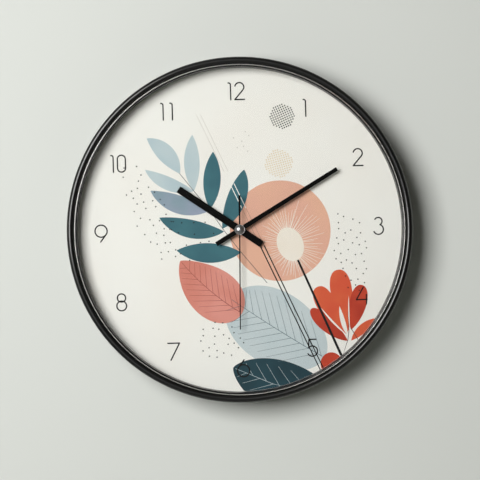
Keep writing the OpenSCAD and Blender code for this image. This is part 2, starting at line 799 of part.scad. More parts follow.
// A plate on the case's wall with a strip bent out of it, which presses on the battery's base
module contact_negative() {
    root = 0.3;
    crest = leaf_reach;
    leaf = [
        [root, -4.6], [crest, -1.2], [crest, 1.2], [root, 4.6],
        [root, 4.05], [crest - contact_t, 1.0], [crest - contact_t, -1.0], [root, -4.05]
    ];
    color([0.8, 0.8, 0.78]) hung() translate([-case_in_w / 2, battery_y, contact_low]) {
        box([0, -contact_w / 2, 0], [contact_t, contact_w / 2, contact_high - contact_low]);
        slab(leaf, contact_high - contact_low);
    }
}

nub_len = 1.0;
nub_r = 2.75;
sleeve_t = 0.25;
can_len = battery_len - nub_len;

module along_battery(x) {
    translate([battery_left + x, battery_y, battery_z]) rotate([0, 90, 0]) children();
}

module battery_can() {
    color([0.75, 0.76, 0.78]) hung() along_battery(0) {
        cylinder(r = battery_r - sleeve_t - press_gap, h = can_len);
        cylinder(r = nub_r, h = battery_len);
    }
}

module battery_sleeve() {
    inset = 0.6;
    color([0.2, 0.24, 0.3]) hung() along_battery(inset)
        tube(battery_r, battery_r - sleeve_t, can_len - 2 * inset);
}

// ---- Motion work and setting knob ----

module minute_pipe() {
    low = level_4 - wheel_gap + 0.4;
    color([0.92, 0.9, 0.86]) hung() difference() {
        union() {
            translate([0, 0, low]) cylinder(r = minute_r, h = minute_top - low);
            translate([0, 0, level_5]) gear(cannon_leaves, motion_m, motion_t);
        }
        translate([0, 0, low - eps]) cylinder(r = minute_in, h = minute_top - low + 2 * eps);
    }
}

module minute_wheel() {
    color([0.88, 0.88, 0.84]) hung() translate([0, 0, level_4]) difference() {
        gear(minute_teeth, minute_m, wheel_t);
        translate([0, 0, -eps]) cylinder(r = minute_r + press_gap, h = wheel_t + 2 * eps);
    }
}

module clutch_spring() {
    color([0.78, 0.66, 0.36]) hung()
        translate([0, 0, level_4 + wheel_t]) tube(3.0, minute_r + press_gap, 0.4);
}

module motion_wheel() {
    color([0.9, 0.86, 0.82]) hung() at(motion_at) difference() {
        union() {
            translate([0, 0, level_5]) gear(motion_teeth, motion_m, motion_t, motion_phase);
            translate([0, 0, level_5]) cylinder(r = 1.25, h = level_6 + motion_t - level_5);
            translate([0, 0, level_6]) gear(motion_leaves, hour_m, motion_t);
        }
        translate([0, 0, level_5 - eps])
            cylinder(r = arbor_r + run_gap, h = level_6 + motion_t - level_5 + 2 * eps);
    }
}

module hour_wheel() {
    color([0.9, 0.9, 0.88]) hung() difference() {
        union() {
            translate([0, 0, level_6]) gear(hour_teeth, hour_m, motion_t, hour_phase);
            translate([0, 0, level_6]) cylinder(r = hour_r, h = hour_top - level_6);
        }
        translate([0, 0, level_6 - eps]) cylinder(r = hour_in, h = hour_top - level_6 + 2 * eps);
    }
}

knob_z = 1.6;
knob_gap = 0.3;
knob_r = 5;
shaft_low = knob_z + 0.6;

module setting_shaft() {
    color([0.9, 0.9, 0.88]) hung() at(setting_at) {
        translate([0, 0, shaft_low]) cylinder(r = setting_r, h = front_in + boss_root - shaft_low);
        translate([0, 0, level_5]) gear(cannon_leaves, motion_m, motion_t, setting_phase);
    }
}

module setting_knob() {
    color([0.88, 0.88, 0.86]) hung() at(setting_at, knob_z) difference() {
        cylinder(r = knob_r, h = case_z - knob_gap - knob_z);
        around(18, knob_r + 0.25) translate([0, 0, -eps]) cylinder(r = 0.6, h = case_z, $fn = 16);
        translate([0, 0, shaft_low - knob_z - eps]) cylinder(r = setting_r + press_gap, h = case_z);
    }
}

// ---- Hands ----

module clockwise(angle, z) {
    hung() rotate(-angle) translate([0, 0, z]) children();
}

// A flat bar from the tail to the tip, with a round hub on the shaft
module baton(len, tail, w, tip_w, tail_w, hub, hole, t) {
    difference() {
        union() {
            slab([
                [-tail_w / 2, -tail], [tail_w / 2, -tail], [w / 2, 0],
                [tip_w / 2, len], [-tip_w / 2, len], [-w / 2, 0]
            ], t);
            cylinder(r = hub, h = t);
        }
        translate([0, 0, -eps]) cylinder(r = hole, h = t + 2 * eps);
    }
}

hand_black = [0.03, 0.03, 0.03];
brass = [0.8, 0.66, 0.34];

module hour_hand() {
    color(hand_black) clockwise(hour_angle, hour_z)
        baton(hour_len, hour_tail, hour_w, hour_w, hour_w, cap_r - hub_cover, hour_r + press_gap, hour_t);
}

module hour_collet() {
    color(brass) clockwise(hour_angle, hour_z - hour_collet_h)
        tube(hour_r + 1, hour_r + press_gap, hour_collet_h);
}

module minute_hand() {
    color(hand_black) clockwise(minute_angle, minute_z) baton(minute_len, minute_tail, minute_w,
        minute_tip_w, minute_w, cap_r - 2 * hub_cover, minute_r + press_gap, minute_t);
}

module minute_collet() {
    color(brass) clockwise(minute_angle, minute_z - minute_collet_h)
        tube(minute_r + 0.8, minute_r + press_gap, minute_collet_h);
}

module second_hand() {
    color(hand_black) clockwise(second_angle, second_z) baton(second_len, second_tail, second_w,
        second_tip_w, second_tail_w, 2.2, seconds_r + press_gap, second_t);
}

module second_tube() {
    color(brass) clockwise(second_angle, second_z - second_tube_h)
        tube(seconds_r + 0.7, seconds_r + press_gap, second_tube_h);
}

module centre_cap() {
    dome_r = (cap_r * cap_r + cap_h * cap_h) / (2 * cap_h);
    half = asin(cap_r / dome_r);
    dome = concat([[0, 0]], arc([0, cap_h - dome_r], dome_r, 90 - half, 90, 10));
    color([0.86, 0.86, 0.88]) hung() translate([0, 0, second_top]) difference() {
        rotate_extrude() polygon(dome);
        translate([0, 0, -eps]) cylinder(r = seconds_r + press_gap, h = cap_h / 2 + 2 * eps);
    }
}

frame_ring();
glass_lens();
spacer_ring();
dial_sheet();
back_plate();
back_plate_screws();
hanger_plate();
hanger_screws();
rubber_washer();
movement_case();
rear_cover();
movement_screws();
mount_screws();
bushing();
middle_plate();
seconds_arbor();
seconds_wheel();
third_wheel();
intermediate_wheel();
rotor_pinion();
rotor_magnet();
stator();
coil_core();
coil_bobbin();
coil_winding();
circuit_board();
chip_cover();
quartz_crystal();
board_screws();
contact_positive();
contact_negative();
battery_can();
battery_sleeve();
minute_pipe();
minute_wheel();
clutch_spring();
motion_wheel();
hour_wheel();
setting_shaft();
setting_knob();
hour_hand();
hour_collet();
minute_hand();
minute_collet();
second_hand();
second_tube();
centre_cap();
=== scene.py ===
"""Visual model of a round glazed wall clock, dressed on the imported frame.

Pieces are drawn in the clock's flat frame, where x runs right and y up over the dial from the
hands' centre and z runs out from the wall, in metres, and are then hung upright in the row frame.
"""

import logging
import math
import random
from dataclasses import dataclass, field
from enum import Enum
from typing import Callable, Iterable, Sequence

import bmesh
import bpy
from mathutils import Matrix, Vector


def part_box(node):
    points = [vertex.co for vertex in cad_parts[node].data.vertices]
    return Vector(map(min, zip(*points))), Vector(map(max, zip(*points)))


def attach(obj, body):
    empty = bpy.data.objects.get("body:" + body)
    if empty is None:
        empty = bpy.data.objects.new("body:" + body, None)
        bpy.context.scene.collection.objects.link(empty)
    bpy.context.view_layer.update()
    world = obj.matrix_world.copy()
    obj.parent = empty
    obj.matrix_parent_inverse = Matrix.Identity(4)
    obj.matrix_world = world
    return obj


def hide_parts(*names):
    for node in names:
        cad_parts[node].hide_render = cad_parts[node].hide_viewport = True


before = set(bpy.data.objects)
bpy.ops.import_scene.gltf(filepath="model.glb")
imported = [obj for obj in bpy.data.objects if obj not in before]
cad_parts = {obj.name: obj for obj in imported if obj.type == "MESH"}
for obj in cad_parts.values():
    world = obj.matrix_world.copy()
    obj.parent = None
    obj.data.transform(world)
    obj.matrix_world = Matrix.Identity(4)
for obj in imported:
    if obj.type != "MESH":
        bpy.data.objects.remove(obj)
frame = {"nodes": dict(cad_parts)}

log = logging.getLogger("wall_clock")

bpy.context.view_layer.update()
MM = 0.001
Point = tuple[float, float]
Colour = tuple[float, float, float]
Drawing = Callable[[bmesh.types.BMesh], None]


class Body(Enum):
    """The frame's bodies that pieces ride on."""

    CASE = "case"
    HOURS = "hours"
    MINUTES = "minutes"
    SECONDS = "seconds"
    BATTERY = "battery"
    SETTING = "setting"


# ---- The flat frame ----


def flat_box(node: str) -> tuple[Vector, Vector]:
    """Gives a CAD node's lowest and highest corners in the flat frame.

    Args:
        node: The node's name.

    Returns:
        The two corners, in metres.
    """
    low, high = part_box(node)
    return Vector((low.x, low.z - CENTRE_Z, -high.y)), Vector((high.x, high.z - CENTRE_Z, -low.y))


def middle_of(node: str) -> Vector:
    """Gives the middle of a CAD node's box in the row frame."""
    low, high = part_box(node)
    return (low + high) / 2


CENTRE_Z = middle_of("glass_lens").z
HANG = Matrix.Translation((0, 0, CENTRE_Z)) @ Matrix.Rotation(math.radians(90), 4, "X")


def polar(radius: float, degrees: float) -> Vector:
    """Gives a point of the flat plane by its distance and direction."""
    angle = math.radians(degrees)
    return Vector((radius * math.cos(angle), radius * math.sin(angle), 0))


def arc(centre: Point, radius: float, start: float, end: float, steps: int) -> list[Point]:
    """Lists points along an arc of a profile.

    Args:
        centre: The arc's centre, as radius from the axis and height.
        radius: The arc's radius.
        start: Direction of its first point, in degrees.
        end: Direction of its last point, in degrees.
        steps: Number of chords.

    Returns:
        The points, first to last.
    """
    turns = [math.radians(start + (end - start) * i / steps) for i in range(steps + 1)]
    return [(centre[0] + radius * math.cos(a), centre[1] + radius * math.sin(a)) for a in turns]


def linear(code: str) -> Colour:
    """Turns a display colour such as "#E9E7DF" into linear values.

    Args:
        code: The colour, as six hexadecimal digits after a hash sign.

    Returns:
        Red, green and blue, each from 0 to 1.
    """
    parts = [int(code[i:i + 2], 16) / 255 for i in (1, 3, 5)]
    return tuple(c / 12.92 if c <= 0.04045 else ((c + 0.055) / 1.055) ** 2.4 for c in parts)


# ---- Shader wiring ----


class Wire:
    """A socket that can be used in Python expressions, each of which adds its Math node."""

    def __init__(self, tree: "Tree", socket: bpy.types.NodeSocket) -> None:
        """Wraps one output socket of a tree."""
        self.tree = tree
        self.socket = socket

    def math(self, operation: str, *values: "Wire | float") -> "Wire":
        """Adds a Math node whose first input is this wire.

        Args:
            operation: The Math node's operation.
            values: Its further inputs.

        Returns:
            The node's output.
        """
        inputs = dict(enumerate((self, *values)))
        return self.tree.add("ShaderNodeMath", {"operation": operation}, inputs)

    def __add__(self, other: "Wire | float") -> "Wire":
        """Adds two values."""
        return self.math("ADD", other)

    def __radd__(self, other: float) -> "Wire":
        """Adds two values."""
        return self.math("ADD", other)

    def __sub__(self, other: "Wire | float") -> "Wire":
        """Takes the other value from this one."""
        return self.math("SUBTRACT", other)

    def __rsub__(self, other: float) -> "Wire":
        """Takes this value from the other one."""
        return self.math("MULTIPLY", -1.0).math("ADD", other)

    def __mul__(self, other: "Wire | float") -> "Wire":
        """Multiplies two values."""
        return self.math("MULTIPLY", other)

    def __rmul__(self, other: float) -> "Wire":
        """Multiplies two values."""
        return self.math("MULTIPLY", other)

    def ramp(self, low: float, high: float) -> "Wire":
        """Gives 0 at low and 1 at high, smoothly, and holds those values beyond.

        Args:
            low: The value that becomes 0.
            high: The value that becomes 1.

        Returns:
            The ramped value.
        """
        return self.tree.add("ShaderNodeMapRange", {"interpolation_type": "SMOOTHSTEP"},
                             {"Value": self, "From Min": low, "From Max": high})


class Tree:
    """The node tree of a material or a world, with one method that adds any node."""

    def __init__(self, holder: "bpy.types.Material | bpy.types.World") -> None:
        """Empties the holder's tree."""
        self.holder = holder
        holder.use_nodes = True
        self.nodes = holder.node_tree.nodes
        self.links = holder.node_tree.links
        self.nodes.clear()
        self.place = self.add("ShaderNodeTexCoord", output="Object")

    def add(self, kind: str, settings: dict | None = None, inputs: dict | None = None,
            output: str | int = 0) -> Wire:
        """Adds a node, sets it and fills its inputs.

        Args:
            kind: The node's type.
            settings: Its settings, such as an operation.
            inputs: Wires or values for its sockets, by name or number.
            output: The socket that is handed back.

        Returns:
            The chosen output.
        """
        node = self.nodes.new(kind)
        for name, value in (settings or {}).items():
            setattr(node, name, value)
        for name, value in (inputs or {}).items():
            if isinstance(value, Wire):
                self.links.new(value.socket, node.inputs[name])
            else:
                node.inputs[name].default_value = value
        return Wire(self, node.outputs[output])

    def stretched(self, scale: Sequence[float]) -> Wire:
        """Gives object coordinates scaled by axis."""
        return self.add("ShaderNodeMapping", None, {"Vector": self.place, "Scale": tuple(scale)})

    def noise(self, size: float, detail: float = 2.0, rough: float = 0.5,
              place: Wire | None = None) -> Wire:
        """Adds noise whose features are about size metres across.

        Args:
            size: Feature size in metres.
            detail: Number of octaves.
            rough: Strength of the finer octaves.
            place: Coordinates, or none for plain object coordinates.

        Returns:
            The noise, from 0 to 1.
        """
        return self.add("ShaderNodeTexNoise", None, {
            "Vector": place or self.place, "Scale": 1 / size, "Detail": detail, "Roughness": rough})

    def blend(self, factor: Wire | float, first: "Wire | Colour", second: "Wire | Colour") -> Wire:
        """Mixes two colours.

        Args:
            factor: Share of the second colour.
            first: The colour at 0.
            second: The colour at 1.

        Returns:
            The mixed colour.
        """
        pair = [c if isinstance(c, Wire) else (*c, 1.0) for c in (first, second)]
        return self.add("ShaderNodeMix", {"data_type": "RGBA"},
                        {0: factor, 6: pair[0], 7: pair[1]}, output=2)

    def bump(self, height: Wire, distance: float) -> Wire:
        """Turns a height from 0 to 1 into a normal.

        Args:
            height: The height.
            distance: What a height of 1 stands for, in metres.

        Returns:
            The bent normal.
        """
        return self.add("ShaderNodeBump", None, {"Height": height, "Distance": distance})

    def close(self, shader: Wire) -> "bpy.types.Material | bpy.types.World":
        """Joins a shader to the output and hands the holder back."""
        kind = "World" if isinstance(self.holder, bpy.types.World) else "Material"
        node = self.nodes.new(f"ShaderNodeOutput{kind}")
        self.links.new(shader.socket, node.inputs["Surface"])
        return self.holder

    def principled(self, **inputs: "Wire | float | Colour") -> bpy.types.Material:
        """Closes the material with one Principled shader.

        Args:
            inputs: Its sockets, with underscores for spaces.

        Returns:
            The finished material.
        """
        named = {name.replace("_", " "): value for name, value in inputs.items()}
        for name in ("Base Color", "Emission Color"):
            if name in named and not isinstance(named[name], Wire):
                named[name] = (*named[name], 1.0)
        return self.close(self.add("ShaderNodeBsdfPrincipled", None, named))


@dataclass(frozen=True)
class Finish:
    """What a surface is made of. Each kind draws its own material, once."""

    name: str

    def draw(self, tree: Tree) -> bpy.types.Material:
        """Wires the material."""
        raise NotImplementedError

    def material(self) -> bpy.types.Material:
        """Gives the material, and makes it the first time."""
        title = f"{type(self).__name__}.{self.name}"
        return bpy.data.materials.get(title) or self.draw(Tree(bpy.data.materials.new(title)))


@dataclass(frozen=True)
class Moulding(Finish):
    """Moulded plastic with a fine cavity texture, uneven gloss and faint flow marks."""

    colour: Colour
    roughness: float = 0.45
    grain: float = 0.35 * MM
    depth: float = 0.02 * MM
    flow: float = 0.08

    def draw(self, tree: Tree) -> bpy.types.Material:
        """Wires the material."""
        fine = tree.noise(self.grain, 3)
        broad = tree.noise(40 * MM, 3)
        scuff = tree.noise(3 * MM, 4, 0.65, tree.stretched((1, 1, 0.3))).ramp(0.6, 0.8)
        pale = tuple(min(1, c * 1.25 + 0.01) for c in self.colour)
        return tree.principled(
            Base_Color=tree.blend(broad * self.flow + fine * 0.06, self.colour, pale),
            Roughness=self.roughness + (broad - 0.5) * 0.12 + scuff * 0.06,
            Normal=tree.bump(fine, self.depth))


@dataclass(frozen=True)
class GlossPlastic(Finish):
    """Smooth moulded plastic, lacquered or not, with a faint orange peel and fine dust scuffs."""

    colour: Colour
    roughness: float = 0.2
    coat: float = 0.3
    shine: float = 0.5

    def draw(self, tree: Tree) -> bpy.types.Material:
        """Wires the material."""
        peel = tree.noise(2.2 * MM, 2)
        dust = tree.noise(0.5 * MM, 4, 0.7).ramp(0.62, 0.8)
        broad = tree.noise(60 * MM, 3)
        pale = tuple(c * 1.6 + 0.004 for c in self.colour)
        return tree.principled(
            Base_Color=tree.blend(dust * 0.3 + broad * 0.15, self.colour, pale),
            Roughness=self.roughness + dust * 0.1 + (broad - 0.5) * 0.08,
            Specular_IOR_Level=self.shine, Coat_Weight=self.coat, Coat_Roughness=0.12,
            Normal=tree.bump(peel, 0.006 * MM))


@dataclass(frozen=True)
class Plated(Finish):
    """Plated or bare sheet metal, with the drawing lines of its rolling and small dull blooms."""

    colour: Colour
    roughness: float = 0.3
    lines: tuple[float, float, float] = (1, 1, 12)
    bloom: float = 0.2

    def draw(self, tree: Tree) -> bpy.types.Material:
        """Wires the material."""
        line = tree.noise(2.0 * MM, 4, 0.6, tree.stretched(self.lines))
        cloud = tree.noise(6 * MM, 4, 0.6).ramp(0.45, 0.75)
        dull = tuple(c * 0.72 for c in self.colour)
        return tree.principled(
            Base_Color=tree.blend(cloud * self.bloom + line * 0.15, self.colour, dull),
            Metallic=1.0,
            Roughness=self.roughness + cloud * 0.12 + (line - 0.5) * 0.15,
            Normal=tree.bump(line, 0.004 * MM))


@dataclass(frozen=True)
class Turned(Finish):
    """Metal turned on a lathe about an axis that runs off the wall, with fine rings."""

    colour: Colour
    centre: Point = (0.0, 0.0)
    roughness: float = 0.22

    def draw(self, tree: Tree) -> bpy.types.Material:
        """Wires the material."""
        spot = tree.add("ShaderNodeSeparateXYZ", None, {0: tree.place})
        height = tree.add("ShaderNodeSeparateXYZ", None, {0: tree.place}, output=2)
        across = spot - self.centre[0]
        up = height - self.centre[1]
        radius = (across * across + up * up).math("SQRT")
        ring = (radius * (2 * math.pi / (0.12 * MM))).math("SINE") * 0.5 + 0.5
        smear = tree.noise(1.5 * MM, 3)
        dull = tuple(c * 0.8 for c in self.colour)
        return tree.principled(
            Base_Color=tree.blend(smear * 0.4, self.colour, dull), Metallic=1.0,
            Roughness=self.roughness + smear * 0.1,
            Normal=tree.bump(ring, 0.0015 * MM))


@dataclass(frozen=True)
class Ink(Finish):
    """One flat printed colour: soft pooling, a slow drift to a second tone and the card's tooth.

    Its colour and tone are display colours.
    """

    colour: str
    tone: str
    drift: float = 22 * MM
    roughness: float = 0.62

    def draw(self, tree: Tree) -> bpy.types.Material:
        """Wires the material."""
        slow = tree.noise(self.drift, 2, 0.4).ramp(0.3, 0.7)
        pool = tree.noise(2.4 * MM, 4, 0.6)
        tooth = tree.noise(0.25 * MM, 2)
        shade = tree.blend(slow, linear(self.colour), linear(self.tone))
        deep = tuple(c * 0.88 for c in linear(self.colour))
        return tree.principled(
            Base_Color=tree.blend(pool.ramp(0.5, 0.75) * 0.35 + tooth * 0.06, shade, deep),
            Roughness=self.roughness + (tooth - 0.5) * 0.1, Specular_IOR_Level=0.2,
            Normal=tree.bump(tooth, 0.0015 * MM))


@dataclass(frozen=True)
class Card(Finish):
    """Coated dial card: warm off-white with faint fibres and a slight yellowing."""

    colour: Colour
    warm: Colour

    def draw(self, tree: Tree) -> bpy.types.Material:
        """Wires the material."""
        fibre = tree.noise(0.8 * MM, 5, 0.65, tree.stretched((1, 1, 0.35)))
        tooth = tree.noise(0.22 * MM, 2)
        slow = tree.noise(90 * MM, 2)
        tint = tree.blend(slow.ramp(0.35, 0.7) * 0.6 + fibre.ramp(0.5, 0.8) * 0.08,
                          self.colour, self.warm)
        return tree.principled(
            Base_Color=tint, Roughness=0.6 + (tooth - 0.5) * 0.1, Specular_IOR_Level=0.25,
            Normal=tree.bump(tooth * 0.6 + fibre * 0.4, 0.0012 * MM))


@dataclass(frozen=True)
class Pane(Finish):
    """Clear sheet glass, which lets light through and mirrors more at a flat angle."""

    tint: Colour
    shine: float = 0.03

    def draw(self, tree: Tree) -> bpy.types.Material:
        """Wires the material."""
        smear = tree.noise(30 * MM, 4, 0.6, tree.stretched((1, 1, 0.5)))
        wave = tree.noise(60 * MM, 1)
        normal = tree.bump(wave, 0.02 * MM)
        gloss = tree.add("ShaderNodeBsdfAnisotropic", None,
                         {"Roughness": smear.ramp(0.45, 0.8) * 0.012 + 0.004, "Normal": normal})
        clear = tree.add("ShaderNodeBsdfTransparent", None, {"Color": (*self.tint, 1.0)})
        flat = tree.add("ShaderNodeLayerWeight", None, {"Blend": 0.5}, output="Facing")
        mirror = flat.math("POWER", 5.0) * 0.97 + self.shine
        return tree.close(tree.add("ShaderNodeMixShader", None, {0: mirror, 1: clear, 2: gloss}))


@dataclass(frozen=True)
class Rubber(Finish):
    """Soft black rubber with a bloom and a coarse open grain."""

    colour: Colour

    def draw(self, tree: Tree) -> bpy.types.Material:
        """Wires the material."""
        grain = tree.noise(0.4 * MM, 4, 0.7)
        bloom = tree.noise(5 * MM, 3).ramp(0.4, 0.8)
        pale = tuple(c + 0.06 for c in self.colour)
        return tree.principled(
            Base_Color=tree.blend(bloom * 0.5, self.colour, pale),
            Roughness=0.78 + (grain - 0.5) * 0.15, Normal=tree.bump(grain, 0.03 * MM))


@dataclass(frozen=True)
class Wound(Finish):
    """Enamelled wire wound in close turns along the coil, with painted shade in the grooves between
    turns.
    """

    colour: Colour
    pitch: float = 0.16 * MM

    def draw(self, tree: Tree) -> bpy.types.Material:
        """Wires the material."""
        along = tree.add("ShaderNodeSeparateXYZ", None, {0: tree.place})
        turn = (along * (2 * math.pi / self.pitch)).math("SINE") * 0.5 + 0.5
        patch = tree.noise(1.2 * MM, 3)
        # dark is painted shade: blended in by (1 - turn), it darkens the colour in the grooves between
        # the turns.
        dark = tuple(c * 0.45 for c in self.colour)
        return tree.principled(
            Base_Color=tree.blend((1 - turn) * 0.6 + patch * 0.2, self.colour, dark), Metallic=0.8,
            Roughness=0.3 + patch * 0.1, Normal=tree.bump(turn, 0.03 * MM))


@dataclass(frozen=True)
class Wrapper(Finish):
    """Printed battery sleeve: two colours that meet near one end, and a plain plus mark there."""

    colour: Colour
    band: Colour
    middle: Vector
    band_from: float = 11 * MM
    mark_at: float = 17 * MM
    mark: float = 2.2 * MM

    def draw(self, tree: Tree) -> bpy.types.Material:
        """Wires the material."""
        along = tree.add("ShaderNodeSeparateXYZ", None, {0: tree.place}) - self.middle.x
        height = tree.add("ShaderNodeSeparateXYZ", None, {0: tree.place}, output=2) - self.middle.z
        reach, rise = (along - self.mark_at).math("ABSOLUTE"), height.math("ABSOLUTE")
        bars = [a.math("LESS_THAN", self.mark) * b.math("LESS_THAN", self.mark / 6)
                for a, b in ((reach, rise), (rise, reach))]
        scuff = tree.noise(1.5 * MM, 4, 0.65, tree.stretched((0.2, 1, 1))).ramp(0.55, 0.8)
        two = tree.blend(along.ramp(self.band_from, self.band_from + 0.1 * MM), self.colour, self.band)
        return tree.principled(
            Base_Color=tree.blend(bars[0].math("MAXIMUM", bars[1]), two, (0.8, 0.8, 0.78)),
            Roughness=0.22 + scuff * 0.15, Coat_Weight=0.4, Coat_Roughness=0.12,
            Normal=tree.bump(scuff, 0.004 * MM))


@dataclass(frozen=True)
class Mask(Finish):
    """Solder mask over copper tracks that run along two directions."""

    colour: Colour

    def draw(self, tree: Tree) -> bpy.types.Material:
        """Wires the material."""
        lanes = tree.add("ShaderNodeTexVoronoi",
                         {"distance": "MANHATTAN", "feature": "DISTANCE_TO_EDGE"},
                         {"Vector": tree.place, "Scale": 1 / (2.4 * MM)})
        track = 1 - lanes.ramp(0.05, 0.12)
        speck = tree.noise(0.6 * MM, 3)
        bright = tuple(min(1, c * 1.9 + 0.02) for c in self.colour)
        return tree.principled(
            Base_Color=tree.blend(track * 0.8 + speck * 0.1, self.colour, bright),
            Roughness=0.32 + speck * 0.1, Normal=tree.bump(track, 0.03 * MM))


@dataclass(frozen=True)
class Palette:
    """Every finish of the clock."""

    frame: Finish = GlossPlastic("frame_black", (0.003, 0.003, 0.0028), 0.36, 0.5, 0.26)
    # Pale satin metal for the band on the lip's crest, which paints the lip's highlight.
    trim: Finish = Plated("highlight_satin", (0.72, 0.71, 0.67), 0.4, (1, 1, 1), 0.1)
    spacer: Finish = Moulding("spacer_black", (0.012, 0.012, 0.012), 0.5)
    glass: Finish = Pane("window_glass", (0.992, 0.995, 0.993))
    card: Finish = Card("dial_card", linear("#F0EFE9"), linear("#EEEAE2"))
    hands: Finish = GlossPlastic("hand_black", (0.0018, 0.0018, 0.0018), 0.25, 0.0, 0.05)
    chrome: Finish = Turned("cap_chrome", (0.42, 0.42, 0.43), (0.0, CENTRE_Z), 0.27)
    back: Finish = Moulding("back_plastic", (0.03, 0.03, 0.032), 0.48, 0.5 * MM, 0.045 * MM)
    case: Finish = Moulding("case_plastic", (0.018, 0.018, 0.02), 0.42, 0.3 * MM, 0.025 * MM)
    cover: Finish = Moulding("cover_plastic", (0.026, 0.026, 0.028), 0.5, 0.3 * MM, 0.03 * MM)
    knob: Finish = Moulding("knob_plastic", (0.74, 0.74, 0.71), 0.45, 0.25 * MM)
    acetal: Finish = Moulding("wheel_plastic", (0.76, 0.74, 0.66), 0.38, 0.2 * MM, 0.008 * MM)
    resin: Finish = Moulding("chip_resin", (0.012, 0.012, 0.012), 0.25, 0.3 * MM)
    zinc: Finish = Plated("screw_zinc", (0.60, 0.61, 0.62), 0.3, (1, 1, 1), 0.35)
    hanger: Finish = Plated("hanger_steel", (0.62, 0.63, 0.64), 0.3, (1, 1, 9))
    contact: Finish = Plated("contact_steel", (0.74, 0.74, 0.73), 0.2, (1, 9, 1), 0.1)
    wire: Finish = Plated("arbor_steel", (0.7, 0.7, 0.71), 0.15, (1, 8, 1), 0.1)
    can: Finish = Plated("battery_metal", (0.74, 0.75, 0.76), 0.25, (1, 1, 4), 0.15)
    crystal: Finish = Plated("crystal_can", (0.75, 0.75, 0.73), 0.25, (6, 1, 1), 0.2)
    sheet: Finish = Plated("lamination_steel", (0.56, 0.57, 0.6), 0.34, (9, 1, 1))
    magnet: Finish = Moulding("magnet_grey", (0.05, 0.05, 0.055), 0.6, 0.15 * MM, 0.02 * MM)
    brass: Finish = Turned("brass_turned", (0.74, 0.56, 0.26), (0.0, CENTRE_Z))
    copper: Finish = Wound("coil_copper", (0.62, 0.27, 0.12))
    board: Finish = Mask("board_green", (0.02, 0.13, 0.06))
    wrap: Finish = Wrapper("battery_wrap", linear("#3B4A63"), linear("#C98A4B"),
                           middle_of("battery_sleeve"))
    washer: Finish = Rubber("washer_rubber", (0.02, 0.02, 0.02))


PALETTE = Palette()


# ---- Making pieces ----


def spun(profile: Sequence[Point], steps: int, closed: bool = True) -> bmesh.types.BMesh:
    """Turns a profile about the axis that runs off the wall.

    Args:
        profile: Points as radius and height.
        steps: Number of steps in the full turn.
        closed: Whether the last point joins the first.

    Returns:
        The turned shell, with its faces outwards.
    """
    bm = bmesh.new()
    verts = [bm.verts.new((r, 0, z)) for r, z in profile]
    edges = [bm.edges.new(pair) for pair in zip(verts, verts[1:])]
    if closed:
        edges.append(bm.edges.new((verts[-1], verts[0])))
    bmesh.ops.spin(bm, geom=verts + edges, cent=(0, 0, 0), axis=(0, 0, 1), dvec=(0, 0, 0),
                   angle=2 * math.pi, steps=steps, use_merge=True, use_duplicate=False)
    bmesh.ops.remove_doubles(bm, verts=bm.verts, dist=0.0001 * MM)
    bmesh.ops.recalc_face_normals(bm, faces=bm.faces)
    return bm


def softened(node: str, width: float, sharp: float = 35) -> bmesh.types.BMesh:
    """Copies a CAD node's mesh, merges it and rounds its hard edges.

    Args:
        node: The node's name.
        width: Width of the rounding.
        sharp: Angle between faces, in degrees, from which an edge is hard.

    Returns:
        The rounded copy, in the row frame.
    """
    bm = bmesh.new()
    bm.from_mesh(frame["nodes"][node].data)
    bmesh.ops.remove_doubles(bm, verts=bm.verts, dist=0.001 * MM)
    bmesh.ops.dissolve_limit(bm, angle_limit=math.radians(0.5), verts=bm.verts, edges=bm.edges)
    hard = [e for e in bm.edges if len(e.link_faces) == 2 and e.calc_face_angle() > math.radians(sharp)]
    bmesh.ops.bevel(bm, geom=hard, offset=width, offset_type="OFFSET", segments=2, profile=0.5,
                    affect="EDGES", clamp_overlap=True, material=-1)
    return bm


def put(bm: bmesh.types.BMesh, name: str, finish: Finish, body: Body,
        replaces: Iterable[str] = (), hung: bool = True, crease: float = 32) -> None:
    """Makes a finished piece of a mesh: hangs it, shades it, and says what it rides on.

    Args:
        bm: The mesh, which is used up.
        name: The piece's name.
        finish: Its finish.
        body: The body that it rides on.
        replaces: CAD nodes that it stands for.
        hung: Whether the mesh is in the flat frame and is hung here.
        crease: Angle in degrees from which an edge is shaded sharp.
    """
    if hung:
        bmesh.ops.transform(bm, matrix=HANG, verts=bm.verts)
    mesh = bpy.data.meshes.new(name)
    bm.to_mesh(mesh)
    bm.free()
    mesh.shade_smooth()
    mesh.set_sharp_from_angle(angle=math.radians(crease))
    mesh.materials.append(finish.material())
    piece = bpy.data.objects.new(name, mesh)
    bpy.context.scene.collection.objects.link(piece)
    weigh = piece.modifiers.new("even_shading", "WEIGHTED_NORMAL")
    weigh.keep_sharp = True
    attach(piece, body.value)
    if replaces:
        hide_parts(*replaces)
    log.info("%s: %d faces on %s", name, len(mesh.polygons), body.value)


def rounded(node: str, name: str, finish: Finish, slot: str, body: Body, width: float) -> None:
    """Puts a rounded copy of a CAD node in its place.

    Args:
        node: The node's name.
        name: The piece's name.
        finish: Its finish.
        slot: Not used.
        body: The body that it rides on.
        width: Width of the rounding.
    """
    put(softened(node, width), name, finish, body, [node], hung=False)


def dress(finish: Finish, *nodes: str) -> None:
    """Gives CAD nodes that stay in view their finish.

    Args:
        finish: The finish.
        nodes: Names of the nodes.
    """
    for node in nodes:
        for slot in frame["nodes"][node].material_slots:
            slot.material = finish.material()
        log.info("%s: %s", node, finish.name)


# ---- Frame, glass and dial ----


